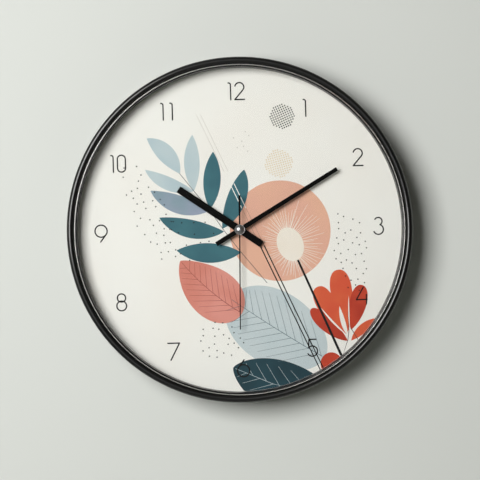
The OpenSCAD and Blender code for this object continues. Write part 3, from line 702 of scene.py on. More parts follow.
@dataclass
class FrameAndGlass:
    """The moulded ring with a pale satin band on its lip that stands in for the lip's highlight, the
    glass, and the ring that keeps it off the dial.
    """

    bead_r: float = 3.0 * MM
    groove_w: float = 0.3 * MM
    groove_deep: float = 0.6 * MM
    lip_w: float = 2.5 * MM
    lip_rise: float = 3.1 * MM
    rim_round: float = 0.5 * MM
    skirt: float = 2.2 * MM
    ring_wall: float = 1.6 * MM
    seat: float = 2.4 * MM
    bosses: int = 6
    boss_r: float = 2.6 * MM
    boss_in: float = 2.0 * MM
    hole_r: float = 0.9 * MM
    arris: float = 0.35 * MM
    # Section radius and inset of the pale band that paints the lip's highlight.
    trim_r: float = 0.28 * MM
    trim_in: float = 6.85 * MM
    spacer_wall: float = 2.0 * MM
    spacer_round: float = 0.3 * MM
    steps: int = 300

    def __post_init__(self) -> None:
        """Reads the sizes that the frame gives."""
        low, high = flat_box("frame_ring")
        self.radius = high.x
        self.depth = high.z
        self.glass_low, self.glass_high = flat_box("glass_lens")
        self.dial_low = flat_box("dial_sheet")[0].z
        self.opening = self.radius - 2 * self.bead_r - self.groove_w - self.lip_w
        self.rabbet = self.opening + self.seat
        self.shelf = self.depth - self.bead_r
        self.lip_z = self.glass_high.z + self.lip_rise - self.lip_w / 2

    def profile(self) -> list[Point]:
        """Lists the ring's section, outer foot first."""
        rim = self.rim_round
        skirt_in = self.radius - self.skirt
        groove = self.shelf - self.groove_deep
        heel = [(skirt_in, rim), *arc((skirt_in + rim, rim), rim, 180, 270, 4)]
        foot = arc((self.radius - rim, rim), rim, -90, 0, 6)
        bead = arc((self.radius - self.bead_r, self.shelf), self.bead_r, 0, 180, 36)
        lip = arc((self.opening + self.lip_w / 2, self.lip_z), self.lip_w / 2, 0, 180, 20)
        return [
            *heel, *foot, *bead,
            (self.radius - 2 * self.bead_r, groove), (self.opening + self.lip_w, groove), *lip,
            (self.opening, self.glass_high.z), (self.rabbet, self.glass_high.z),
            (self.rabbet, self.dial_low), (self.rabbet + self.ring_wall, self.dial_low),
            (self.rabbet + self.ring_wall, self.shelf), (skirt_in, self.shelf),
        ]

    def ring(self) -> None:
        """Turns the ring and stands the screw bosses in its channel."""
        bm = spun(self.profile(), self.steps)
        pitch = 360 / self.bosses
        wall = [(self.hole_r, self.dial_low), (self.boss_r, self.dial_low),
                (self.boss_r, self.shelf), (self.hole_r, self.shelf)]
        for i in range(self.bosses):
            boss = spun(wall, 24)
            place = polar(self.rabbet + self.boss_in, pitch * (i + 0.5))
            bmesh.ops.translate(boss, vec=place, verts=boss.verts)
            joined(bm, boss)
        put(bm, "frame_shell", PALETTE.frame, Body.CASE, ["frame_ring"])

    def trim(self) -> None:
        """Turns a fine pale satin band round the lip's crest, sunk halfway into it: a painted highlight
        along the crest.
        """
        across = self.radius - self.trim_in
        off = across - self.opening - self.lip_w / 2
        crest = self.lip_z + math.sqrt((self.lip_w / 2) ** 2 - off ** 2)
        side = arc((across, crest), self.trim_r, 0, 360, 12)[:-1]
        # The pale band stands in for the highlight along the lip's crest: a painted highlight.
        put(spun(side, self.steps), "lip_highlight_band", PALETTE.trim, Body.CASE)

    def glass(self) -> None:
        """Turns the pane, with ground edges."""
        r, low, high, a = self.glass_high.x, self.glass_low.z, self.glass_high.z, self.arris
        side = [(0, low), (r - a, low), (r, low + a), (r, high - a), (r - a, high), (0, high)]
        put(spun(side, 192, closed=False), "glass_pane", PALETTE.glass, Body.CASE,
            ["glass_lens"])

    def spacer(self) -> None:
        """Turns the ring between dial and glass."""
        low, high = flat_box("spacer_ring")
        outer, soft = high.x, self.spacer_round
        inner = outer - self.spacer_wall
        side = [
            (outer, low.z), (outer, high.z), *arc((inner + soft, high.z - soft), soft, 90, 180, 4),
            *arc((inner + soft, low.z + soft), soft, 180, 270, 4),
        ]
        put(spun(side, self.steps), "glass_spacer", PALETTE.spacer, Body.CASE,
            ["spacer_ring"])

    def build(self) -> None:
        """Makes the rings, the pale band that paints the lip's highlight, and the pane."""
        self.ring()
        self.trim()
        self.glass()
        self.spacer()


def joined(bm: bmesh.types.BMesh, other: bmesh.types.BMesh) -> None:
    """Adds another mesh to bm and frees it.

    Args:
        bm: The mesh that grows.
        other: The mesh that is added and used up.
    """
    carrier = bpy.data.meshes.new("carrier")
    other.to_mesh(carrier)
    other.free()
    bm.from_mesh(carrier)
    bpy.data.meshes.remove(carrier)


class Layer(Enum):
    """How far each printed layer stands proud of the card, in metres."""

    WASH = 0.03 * MM
    MOTIF = 0.06 * MM
    UPPER = 0.09 * MM
    DETAIL = 0.12 * MM
    LINE = 0.15 * MM
    NUMERAL = 0.18 * MM


@dataclass
class Pen:
    """Draws flat lines with round ends by moving a nib of three points over the card.

    A mesh edge on each side of the nib's middle is extruded along straight moves and spun
    through curved ones. Each line lies a hair above the one before, so that no two that cross
    share a plane.
    """

    bm: bmesh.types.BMesh
    width: float
    fineness: float = math.radians(12)
    at: Vector = field(default_factory=Vector)
    heading: float = 0.0
    lift_by: float = 0.0004 * MM

    def start(self, x: float, y: float, degrees: float) -> "Pen":
        """Sets the pen down with a round end behind it.

        Args:
            x: Where, to the right.
            y: Where, up.
            degrees: The direction that it sets off in.

        Returns:
            The pen.
        """
        self.at = Vector((x, y, self.lift_by * len(self.bm.faces) / 8))
        self.heading = math.radians(degrees)
        side = self.left() * (self.width / 2)
        self.nib = [self.bm.verts.new(self.at + side * s) for s in (1, 0, -1)]
        self.rails = [self.bm.edges.new((a, b)) for a, b in zip(self.nib, self.nib[1:])]
        self.half_turn(self.rails[0], math.pi)
        return self

    def ahead(self) -> Vector:
        """Gives the unit direction of travel."""
        return Vector((math.cos(self.heading), math.sin(self.heading), 0))

    def left(self) -> Vector:
        """Gives the unit direction to the left of travel."""
        return Vector((-math.sin(self.heading), math.cos(self.heading), 0))

    def half_turn(self, rail: bmesh.types.BMEdge, angle: float) -> list:
        """Spins one half of the nib about its middle.

        Args:
            rail: The half that sweeps.
            angle: How far, in radians, anticlockwise.

        Returns:
            The mesh elements at the sweep's end.
        """
        steps = max(2, math.ceil(abs(angle) / self.fineness))
        made = bmesh.ops.spin(self.bm, geom=[*rail.verts, rail], cent=self.at, axis=(0, 0, 1),
                              dvec=(0, 0, 0), angle=angle, steps=steps, use_duplicate=False)
        return made["geom_last"]

    def carry(self, geometry: list) -> None:
        """Takes the newest edges as the nib.

        Args:
            geometry: The elements that the last move ended with.
        """
        self.rails = [e for e in geometry if isinstance(e, bmesh.types.BMEdge)]
        side = self.left()
        ends = {v for e in self.rails for v in e.verts}
        self.nib = sorted(ends, key=lambda v: -(v.co - self.at).dot(side))
        self.rails.sort(key=lambda e: -sum((v.co - self.at).dot(side) for v in e.verts))

    def line(self, length: float, width: float | None = None) -> "Pen":
        """Draws straight ahead, and may taper to another width.

        Args:
            length: How far.
            width: The width at the end, or none to keep it.

        Returns:
            The pen.
        """
        made = bmesh.ops.extrude_edge_only(self.bm, edges=self.rails)["geom"]
        verts = [e for e in made if isinstance(e, bmesh.types.BMVert)]
        bmesh.ops.translate(self.bm, vec=self.ahead() * length, verts=verts)
        self.at = self.at + self.ahead() * length
        if width is not None:
            for vert in verts:
                vert.co = self.at + (vert.co - self.at) * (width / self.width)
            self.width = width
        ends = set(verts)
        self.carry([e for e in made if isinstance(e, bmesh.types.BMEdge) and ends.issuperset(e.verts)])
        return self

    def arc(self, radius: float, degrees: float) -> "Pen":
        """Draws a curve.

        Args:
            radius: Its radius.
            degrees: How far it turns, to the left if above 0.

        Returns:
            The pen.
        """
        angle = math.radians(degrees)
        centre = self.at + self.left() * math.copysign(radius, angle)
        steps = max(2, math.ceil(abs(angle) / self.fineness))
        made = bmesh.ops.spin(self.bm, geom=[*self.nib, *self.rails], cent=centre, axis=(0, 0, 1),
                              dvec=(0, 0, 0), angle=angle, steps=steps, use_duplicate=False)
        self.at = centre + Matrix.Rotation(angle, 3, "Z") @ (self.at - centre)
        self.heading += angle
        self.carry(made["geom_last"])
        return self

    def turn(self, degrees: float) -> "Pen":
        """Turns on the spot and fills the outside of the corner.

        Args:
            degrees: How far, to the left if above 0.

        Returns:
            The pen.
        """
        angle = math.radians(degrees)
        self.half_turn(self.rails[1 if angle > 0 else 0], angle)
        self.heading += angle
        side = self.left() * (self.width / 2)
        self.nib = [self.bm.verts.new(self.at + side * s) for s in (1, 0, -1)]
        self.rails = [self.bm.edges.new((a, b)) for a, b in zip(self.nib, self.nib[1:])]
        return self

    def lift(self) -> None:
        """Ends the line with a round end."""
        self.half_turn(self.rails[0], -math.pi)

    def between(self, start: Vector, end: Vector, width: float | None = None) -> None:
        """Draws one straight line from point to point, and may taper to another width.

        Args:
            start: Where it starts.
            end: Where it ends.
            width: The width at the end, or none to keep it.
        """
        way = (end - start).xy
        self.start(start.x, start.y, math.degrees(math.atan2(way.y, way.x)))
        self.line(way.length, width)
        self.lift()


@dataclass(frozen=True)
class Leaf:
    """A leaf or petal from its foot to its tip. Sizes are in metres.

    Its half width follows t^foot_power * (1 - t)^tip_power along its length, so a power near 1
    gives a point and one near 0.5 a round end. bow bends its middle to the left.
    """

    foot: Point
    tip: Point
    width: float
    bow: float = 0.0
    foot_power: float = 0.9
    tip_power: float = 0.9

    def spine(self, t: float) -> Vector:
        """Gives the point at share t of the midrib."""
        start, end = Vector((*self.foot, 0)), Vector((*self.tip, 0))
        way = end - start
        left = Vector((-way.y, way.x, 0)).normalized()
        return start + way * t + left * (4 * self.bow * t * (1 - t))

    def half_width(self, t: float) -> float:
        """Gives the half width at share t of the length."""
        p, q = self.foot_power, self.tip_power
        crest = (p / (p + q)) ** p * (q / (p + q)) ** q
        return self.width / 2 * max(0.0, t) ** p * max(0.0, 1 - t) ** q / crest

    def spot(self, t: float, side: float) -> Vector:
        """Gives a point of the leaf.

        Args:
            t: Share of the length, from foot to tip.
            side: From -1 at the right edge to 1 at the left edge.

        Returns:
            The point.
        """
        step = 0.01
        way = (self.spine(min(1, t + step)) - self.spine(max(0, t - step))).normalized()
        return self.spine(t) + Vector((-way.y, way.x, 0)) * (self.half_width(t) * side)

    def fill(self, bm: bmesh.types.BMesh, lift: float = 0.0) -> None:
        """Adds the leaf's flat shape, made of a grid that is drawn to its outline.

        Args:
            bm: The layer's mesh.
            lift: How far it lies above the layer, so that leaves of one ink can cross.
        """
        made = bmesh.ops.create_grid(bm, x_segments=48, y_segments=2, size=1.0)["verts"]
        for vert in made:
            t = (1 - math.cos(math.pi * (vert.co.x + 1) / 2)) / 2
            vert.co = self.spot(t, vert.co.y) + Vector((0, 0, lift))

    def veins(self, pen: Pen, count: int, reach: float = 0.82, slant: float = 0.28) -> None:
        """Draws the midrib and side veins.

        Args:
            pen: The pen that draws them.
            count: Number of side veins on each side.
            reach: How near they come to the edge.
            slant: How far the longest runs forward, as a share of the length.
        """
        full = pen.width
        marks = [0.03 + 0.95 * i / 12 for i in range(13)]
        for a, b in zip(marks, marks[1:]):
            pen.width = full * (1.25 - 0.5 * a)
            pen.between(self.spine(a), self.spine(b))
        for i in range(count):
            for side in (-1, 1):
                t = 0.06 + 0.8 * (i + 0.25 * side) / (count - 1)
                ahead = t
                for _ in range(12):
                    ahead = min(0.98, t + slant * 2 * self.half_width(ahead) / self.width)
                pen.width = full * 0.85
                pen.between(self.spot(t, 0), self.spot(ahead, side * reach), full * 0.5)


@dataclass
class Print:
    """The card's printed picture: a plain botanical arrangement of the maker's own drawing.

    It lies on the card at height card_z, and nothing of it reaches past limit from the centre.
    """

    limit: float
    card_z: float
    seed: int = 12

    def layer(self, name: str, finish: Finish, layer: Layer, draw: Drawing) -> None:
        """Makes one printed layer as a thin closed sheet on the card.

        Args:
            name: The piece's name.
            finish: Its ink.
            layer: How far it stands proud.
            draw: What adds the flat shapes to the mesh.
        """
        bm = bmesh.new()
        draw(bm)
        for vert in bm.verts:
            if vert.co.length > self.limit:
                vert.co = vert.co * (self.limit / vert.co.length)
        bmesh.ops.remove_doubles(bm, verts=bm.verts, dist=0.002 * MM)
        bmesh.ops.dissolve_degenerate(bm, edges=bm.edges, dist=0.002 * MM)
        bmesh.ops.recalc_face_normals(bm, faces=bm.faces)
        down = [f for f in bm.faces if f.normal.z < 0]
        bmesh.ops.reverse_faces(bm, faces=down)
        made = bmesh.ops.extrude_face_region(bm, geom=bm.faces[:], use_keep_orig=True)["geom"]
        raised = [v for v in made if isinstance(v, bmesh.types.BMVert)]
        top = {f for f in made if isinstance(f, bmesh.types.BMFace)}
        under = [f for f in bm.faces if f not in top and abs(f.normal.z) > 0.5]
        bmesh.ops.reverse_faces(bm, faces=under)
        bmesh.ops.translate(bm, vec=(0, 0, layer.value), verts=raised)
        bmesh.ops.translate(bm, vec=(0, 0, self.card_z), verts=bm.verts)
        put(bm, name, finish, Body.CASE)

    def leaves(self, name: str, finish: Finish, layer: Layer, leaves: Sequence[Leaf]) -> None:
        """Prints leaves of one ink.

        Args:
            name: The piece's name.
            finish: The ink.
            layer: The layer.
            leaves: The leaves.
        """
        self.layer(name, finish, layer,
                   lambda bm: [leaf.fill(bm, i * 0.002 * MM) for i, leaf in enumerate(leaves)])

    def discs(self, bm: bmesh.types.BMesh, spots: Iterable[Point], radius: float, sides: int) -> None:
        """Adds round spots.

        Args:
            bm: The layer's mesh.
            spots: Their centres.
            radius: Their radius.
            sides: Their number of sides.
        """
        for x, y in spots:
            bmesh.ops.create_circle(bm, cap_ends=True, segments=sides, radius=radius,
                                    matrix=Matrix.Translation((x, y, 0)))

    def scatter(self, draw: random.Random, centre: Point, size: Point, tilt: float, count: int,
                apart: float) -> list[Point]:
        """Scatters spots over an ellipse, none nearer than a set distance.

        Args:
            draw: The seeded source of numbers.
            centre: The ellipse's centre.
            size: Its two half axes.
            tilt: Its turn in degrees.
            count: How many tries are made.
            apart: The least distance between spots.

        Returns:
            The spots.
        """
        spots: list[Point] = []
        turn = Matrix.Rotation(math.radians(tilt), 2)
        for _ in range(count):
            away, angle = math.sqrt(draw.random()), draw.uniform(0, 2 * math.pi)
            spot = turn @ Vector((away * math.cos(angle) * size[0], away * math.sin(angle) * size[1]))
            x, y = spot.x + centre[0], spot.y + centre[1]
            if all(math.hypot(x - a, y - b) > apart for a, b in spots):
                spots.append((x, y))
        return spots

    def spray(self) -> None:
        """Prints the spray of leaves on the left and its stem."""
        pale = Ink("ink_pale_blue", "#BDCCCF", "#B2C4CA")
        mauve = Ink("ink_mauve_blue", "#869BA6", "#959FB2")
        teal = Ink("ink_teal", "#3E6F79", "#36646F")
        stem = Ink("ink_stem_grey", "#43494A", "#4C5354")
        self.leaves("print_pale_leaves", pale, Layer.MOTIF, [
            Leaf((-0.0510, 0.0505), (-0.0790, 0.0820), 0.0150, -0.0030),
            Leaf((-0.0392, 0.0350), (-0.0392, 0.0840), 0.0136, 0.0010),
            Leaf((-0.0392, 0.0350), (-0.0812, 0.0545), 0.0116, 0.0030),
        ])
        self.leaves("print_mauve_leaf", mauve, Layer.MOTIF, [
            Leaf((-0.0262, 0.0174), (-0.0770, 0.0362), 0.0158, 0.0035)])
        self.leaves("print_teal_leaves", teal, Layer.MOTIF, [
            Leaf((-0.0254, 0.0190), (-0.0214, 0.0688), 0.0152, -0.0004),
            Leaf((-0.0150, 0.0014), (0.0053, 0.0523), 0.0166, -0.0026, 0.85, 0.8),
            Leaf((-0.0138, -0.0012), (-0.0700, 0.0124), 0.0160, 0.0038),
            Leaf((0.0006, -0.0198), (-0.0556, -0.0166), 0.0172, 0.0014),
        ])

        def stalk(bm: bmesh.types.BMesh) -> None:
            """Draws the stem as one slow curve."""
            marks = [(-0.0512, 0.0506), (-0.0392, 0.0350), (-0.0262, 0.0182), (-0.0138, -0.0002),
                     (0.0006, -0.0196), (0.0226, -0.0470)]
            pen = Pen(bm, 0.48 * MM)
            for a, b in zip(marks, marks[1:]):
                pen.between(Vector((*a, 0)), Vector((*b, 0)))

        self.layer("print_spray_stem", stem, Layer.UPPER, stalk)

    def sun(self) -> None:
        """Prints the round sun, its pale core and the rays."""
        centre, radius = (0.0354, -0.0019), 44.0 * MM
        core = Leaf((0.0489, -0.0282), (0.0388, 0.0003), 0.0228, 0.0, 0.5, 0.5)
        peach = Ink("ink_peach", "#E4B298", "#E0AC98", 40 * MM)
        cream = Ink("ink_cream", "#F0E9DD", "#EDE4D5", 30 * MM)
        self.layer("print_sun", peach, Layer.WASH, lambda bm: self.discs(bm, [centre], radius, 96))
        self.leaves("print_sun_core", cream, Layer.UPPER, [core])

        def rays(bm: bmesh.types.BMesh) -> None:
            """Draws tapered rays of uneven length about the core, longest to the upper right."""
            draw = random.Random(self.seed)
            for i in range(72):
                angle = i * 5 + draw.uniform(-1.8, 1.8)
                reach = 16.5 + 4.5 * math.cos(math.radians(angle - 50))
                start = core.spine(0.5 + 0.22 * math.sin(math.radians(angle))) + polar(8 * MM, angle)
                end = start + polar(reach * draw.uniform(0.55, 1.3) * MM, angle)
                Pen(bm, 0.5 * MM, math.radians(60)).between(start, end, 0.24 * MM)

        self.layer("print_sun_rays", cream, Layer.MOTIF, rays)

    def big_leaves(self) -> None:
        """Prints the three broad veined leaves below the centre."""
        coral = Ink("ink_coral", "#DC9487", "#D08070", 34 * MM)
        mist = Ink("ink_mist_blue", "#BFCCCF", "#C7D1D3", 35 * MM)
        deep = Ink("ink_deep_teal", "#23444E", "#1F3B44", 30 * MM)
        coral_vein = Ink("ink_coral_vein", "#9A4B45", "#8C4440")
        mist_vein = Ink("ink_mist_vein", "#4E656E", "#435A63")
        deep_vein = Ink("ink_deep_vein", "#A9BCC0", "#C4D0D1")
        coral_leaf = Leaf((0.0000, -0.0731), (-0.0526, -0.0258), 0.0436, 0.0030, 0.52, 0.80)
        mist_leaf = Leaf((0.0714, -0.1141), (-0.0102, -0.0598), 0.0640, 0.0010, 0.55, 0.50)
        deep_leaf = Leaf((0.0914, -0.1677), (-0.0090, -0.1204), 0.0470, -0.0010, 0.80, 0.70)
        self.leaves("print_mist_leaf", mist, Layer.MOTIF, [mist_leaf])
        self.leaves("print_coral_leaf", coral, Layer.UPPER, [coral_leaf])
        self.leaves("print_deep_leaf", deep, Layer.UPPER, [deep_leaf])
        self.layer("print_mist_veins", mist_vein, Layer.UPPER,
                   lambda bm: mist_leaf.veins(Pen(bm, 0.42 * MM), 10, 0.8))
        self.layer("print_coral_veins", coral_vein, Layer.DETAIL,
                   lambda bm: coral_leaf.veins(Pen(bm, 0.38 * MM), 9, 0.8))
        self.layer("print_deep_veins", deep_vein, Layer.DETAIL,
                   lambda bm: deep_leaf.veins(Pen(bm, 0.42 * MM), 8, 0.72, 0.2))

    def flower(self) -> None:
        """Prints the red flower at the right."""
        red = Ink("ink_red", "#D45639", "#D9633F", 18 * MM)
        dark = Ink("ink_dark_red", "#B23A27", "#C2442C", 18 * MM)
        twig = Ink("ink_twig", "#5B4A44", "#6A5750")
        paper = Ink("ink_paper", "#F0EDE6", "#EEEAE2")
        self.leaves("print_red_petals", red, Layer.MOTIF, [
            Leaf((0.0912, -0.0936), (0.0846, -0.0374), 0.0190, -0.0006, 0.90, 0.42),
            Leaf((0.0908, -0.0936), (0.0664, -0.0519), 0.0168, 0.0014, 0.90, 0.42),
            Leaf((0.0948, -0.0995), (0.1168, -0.0808), 0.0078, 0.0010),
        ])
        self.leaves("print_dark_petals", dark, Layer.UPPER, [
            Leaf((0.0949, -0.0899), (0.1052, -0.0512), 0.0150, -0.0006, 0.80, 0.45),
            Leaf((0.0915, -0.0996), (0.0606, -0.0709), 0.0128, 0.0012, 0.80, 0.50),
            Leaf((0.0766, -0.1290), (0.0771, -0.1094), 0.0190, 0.0000, 0.50, 0.50),
        ])
        self.leaves("print_petal_gaps", paper, Layer.DETAIL, [
            Leaf((0.0914, -0.0940), (0.0853, -0.0694), 0.0040, 0.0006, 0.70, 0.90),
            Leaf((0.0910, -0.0945), (0.0690, -0.0700), 0.0016, 0.0010),
            Leaf((0.0938, -0.0900), (0.0937, -0.0600), 0.0010, 0.0004),
        ])

        def stems(bm: bmesh.types.BMesh) -> None:
            """Draws the flower's stems."""
            pen = Pen(bm, 0.5 * MM)
            pen.start(0.0889, -0.1126, 78)
            pen.line(0.014).arc(0.06, 14).line(0.010, 0.3 * MM).lift()
            Pen(bm, 0.6 * MM).between(Vector((0.0949, -0.0887, 0)), Vector((0.1005, -0.0987, 0)))

        self.layer("print_flower_stem", twig, Layer.DETAIL, stems)

    def stitched_discs(self) -> None:
        """Prints the two stitched discs at the upper right."""
        dark = Ink("ink_weave_dark", "#28272A", "#343336")
        straw = Ink("ink_weave_straw", "#DFCDAC", "#E3D5BB")
        stitch = 1.12 * MM
        for name, finish, centre, radius, tilt in (
                ("print_dark_disc", dark, Vector((0.0398, 0.0980, 0)), 10.6 * MM, 22),
                ("print_straw_disc", straw, Vector((0.0358, 0.0570, 0)), 12.2 * MM, 14)):
            turn = Matrix.Rotation(math.radians(tilt), 3, "Z")
            cells = [turn @ Vector((i, j, 0)) * (1.95 * MM) for i in range(-7, 8) for j in range(-7, 8)]
            inside = [cell for cell in cells if cell.length < radius]

            def stitches(bm: bmesh.types.BMesh) -> None:
                """Draws a small square stitch in each cell."""
                for cell in inside:
                    place = Matrix.Translation(centre + cell) @ turn.to_4x4()
                    bmesh.ops.create_grid(bm, x_segments=1, y_segments=1, size=stitch / 2, matrix=place)

            self.layer(name, finish, Layer.MOTIF, stitches)

    def lines(self) -> None:
        """Prints the long double line and the short bold one."""
        black = Ink("ink_black", "#0E0F10", "#151617")
        faint = Ink("ink_faint", "#CFCBC2", "#D6D2CA")
        white = Ink("ink_white", "#F2F1EC", "#EDECE6")
        dusk = Ink("ink_dusk", "#B48B79", "#BE9886")
        top, low = Vector((-0.0352, 0.1016, 0)), Vector((0.0660, -0.1215, 0))
        gap = Vector((0.0036, 0.0, 0))

        def stretch(start: float, end: float, width: float) -> Drawing:
            """Gives what draws a stretch of the double line.

            Args:
                start: Share of its length where the stretch starts.
                end: Share where it ends.
                width: Its width.

            Returns:
                The function that draws it.
            """
            def pair(bm: bmesh.types.BMesh) -> None:
                """Draws two lines side by side."""
                for off in (gap * 0, gap):
                    Pen(bm, width).between(top.lerp(low, start) + off, top.lerp(low, end) + off)
            return pair

        def bold(bm: bmesh.types.BMesh) -> None:
            """Draws the bold line, which swells towards its foot."""
            head, foot = Vector((0.0504, -0.0285, 0)), Vector((0.0854, -0.1115, 0))
            Pen(bm, 1.8 * MM).between(head, foot, 2.2 * MM)

        self.layer("print_faint_pair", faint, Layer.DETAIL, stretch(0.0, 0.225, 0.4 * MM))
        self.layer("print_white_pair", white, Layer.LINE, stretch(0.275, 0.37, 0.7 * MM))
        self.layer("print_dusk_pair", dusk, Layer.LINE, stretch(0.375, 0.52, 0.45 * MM))
        self.layer("print_dark_pair", black, Layer.LINE, stretch(0.52, 1.03, 0.98 * MM))
        self.layer("print_bold_line", black, Layer.LINE, bold)

    def stipple(self) -> None:
        """Prints the scattered dots beside the motifs."""
        dot = Ink("ink_dot", "#17191A", "#222526")
        pale = Ink("ink_dot_pale", "#B9B6AE", "#C7C3BA")
        draw = random.Random(self.seed)
        spots = [
            *self.scatter(draw, (-0.0790, 0.0180), (0.0150, 0.0500), 24, 150, 5.6 * MM),
            *self.scatter(draw, (-0.0440, -0.0060), (0.0220, 0.0200), 0, 30, 6.6 * MM),
            *self.scatter(draw, (0.0965, -0.0200), (0.0145, 0.0370), 6, 170, 5.0 * MM),
            *self.scatter(draw, (-0.0190, -0.0960), (0.0200, 0.0170), -10, 90, 5.0 * MM),
        ]
        few = self.scatter(draw, (0.0040, 0.0770), (0.0080, 0.0110), 0, 14, 4.0 * MM)
        self.layer("print_stipple", dot, Layer.DETAIL, lambda bm: self.discs(bm, spots, 0.62 * MM, 10))
        self.layer("print_pale_stipple", pale, Layer.DETAIL,
                   lambda bm: self.discs(bm, few, 0.5 * MM, 10))

    def build(self) -> None:
        """Prints everything, from the washes up."""
        self.sun()
        self.spray()
        self.big_leaves()
        self.flower()
        self.stitched_discs()
        self.lines()
        self.stipple()


@dataclass
class Numerals:
    """The twelve hour numerals, drawn upright with one thin round pen, in millimetres."""

    printer: Print
    ring: float = 121.2
    stroke: float = 1.12

    def draw_digit(self, bm: bmesh.types.BMesh, digit: str, x: float, y: float) -> None:
        """Draws one digit about its middle.

        Args:
            bm: The layer's mesh.
            digit: The digit.
            x: Its middle, to the right, in millimetres.
            y: Its middle, up, in millimetres.
        """

        def pen(px: float, py: float, degrees: float) -> Pen:
            """Sets a pen down at a point of the digit."""
            tool = MillimetrePen(bm, self.stroke * MM)
            return tool.start((x + px) * MM, (y + py) * MM, degrees)

        if digit == "0":
            pen(3.5, -3.9, 90).line(7.8).arc(3.5, 180).line(7.8).arc(3.5, 180).lift()
        elif digit == "1":
            pen(-2.0, 7.3, 8).arc(1.7, -98).line(13.0).lift()
        elif digit == "2":
            pen(-3.82, 4.46, 75).arc(3.95, -206).line(10.9).turn(131).line(8.5).lift()
        elif digit == "3":
            pen(-2.9, 5.7, 60).arc(3.35, -214).lift()
            pen(1.47, 1.04, -19.8).arc(4.35, -225).lift()
        elif digit == "4":
            pen(1.6, 7.4, -120.2).line(12.5).turn(120.2).line(9.5).lift()
            pen(4.1, 1.0, -90).line(8.4).lift()
        elif digit == "5":
            pen(3.4, 7.4, 180).line(6.2).turn(86.5).line(7.0).lift()
            pen(-3.25, 0.3, 45).arc(4.5, -285).lift()
        elif digit == "6":
            pen(-4.21, 1.12, 52.6).line(7.9).lift()
            pen(-4.21, 1.12, 52.6).arc(5.3, -360).lift()
        elif digit == "7":
            pen(-5.0, 7.4, 0).line(10.2).turn(-117.8).line(16.7).lift()
        elif digit == "8":
            pen(0, 7.4, 180).arc(3.6, 360).lift()
            pen(0, -7.4, 0).arc(4.25, 360).lift()
        elif digit == "9":
            pen(4.21, -1.12, -127.4).line(7.9).lift()
            pen(4.21, -1.12, -127.4).arc(5.3, -360).lift()

    def draw_hour(self, bm: bmesh.types.BMesh, hour: int) -> None:
        """Draws one hour's numeral at its place on the dial.

        Args:
            bm: The layer's mesh.
            hour: The hour, from 1 to 12.
        """
        middle = polar(self.ring, 90 - 30 * hour)
        offsets = {10: (-3.9, 3.2), 11: (-3.4, 4.6), 12: (-4.6, 3.1)}.get(hour, (0.0,))
        for digit, off in zip(str(hour), offsets):
            self.draw_digit(bm, digit, middle.x + off, middle.y)

    def build(self) -> None:
        """Prints each hour as a piece of its own."""
        grey = Ink("ink_numeral", "#0E0D0C", "#151312")
        for hour in range(1, 13):
            self.printer.layer(f"numeral_{hour:02d}", grey, Layer.NUMERAL,
                               lambda bm, h=hour: self.draw_hour(bm, h))


class MillimetrePen(Pen):
    """A pen whose moves are given in millimetres."""

    def line(self, length: float, width: float | None = None) -> Pen:
        """Draws straight ahead, by millimetres."""
        return super().line(length * MM, width)

    def arc(self, radius: float, degrees: float) -> Pen:
        """Draws a curve whose radius is in millimetres."""
        return super().arc(radius * MM, degrees)


@dataclass
class Dial:
    """The card, its print and its numerals."""

    soft: float = 0.05 * MM
    hole: float = 4.2 * MM
    margin: float = 2.1 * MM

    def build(self) -> None:
        """Cuts the card and prints it as far as the ring that stands on it."""
        low, high = flat_box("dial_sheet")
        hole = self.hole
        side = [
            (hole, low.z), (high.x, low.z), (high.x, high.z - self.soft), (high.x - self.soft, high.z),
            (hole + self.soft, high.z), (hole, high.z - self.soft),
        ]
        put(spun(side, 240), "dial_card", PALETTE.card, Body.CASE, ["dial_sheet"])
        printer = Print(flat_box("spacer_ring")[1].x - self.margin, high.z)
        printer.build()
        Numerals(printer).build()


# ---- Hands ----


@dataclass
class Hands:
    """The three hands with their stamped edges, and the bright cap over their centre."""

    edge: float = 0.1 * MM
    cap_edge: float = 0.18 * MM

    def cap(self) -> None:
        """Turns the domed cap, with a rolled edge."""
        low, high = flat_box("centre_cap")
        r, rise, e = high.x, high.z - low.z, self.cap_edge
        dome_r = (r * r + rise * rise) / (2 * rise)
        lean = math.degrees(math.asin((r - e) / dome_r))
        top = arc((0, high.z - dome_r), dome_r, 90, 90 - lean, 24)
        side = [*top, (r, low.z + e * 1.2), (r, low.z + 0.3 * e), (r - 0.3 * e, low.z), (0, low.z)]
        put(spun(side, 96, closed=False), "cap_dome", PALETTE.chrome, Body.SECONDS,
            ["centre_cap"])

    def build(self) -> None:
        """Makes the hands and the cap."""
        for node, name, body, edge in (
                ("hour_hand", "hour_baton", Body.HOURS, self.edge),
                ("minute_hand", "minute_baton", Body.MINUTES, self.edge),
                ("second_hand", "second_needle", Body.SECONDS, self.edge / 2)):
            rounded(node, name, PALETTE.hands, "hand_black", body, edge)
        self.cap()
        dress(PALETTE.brass, "hour_collet", "minute_collet", "second_tube")


# ---- Rear ----


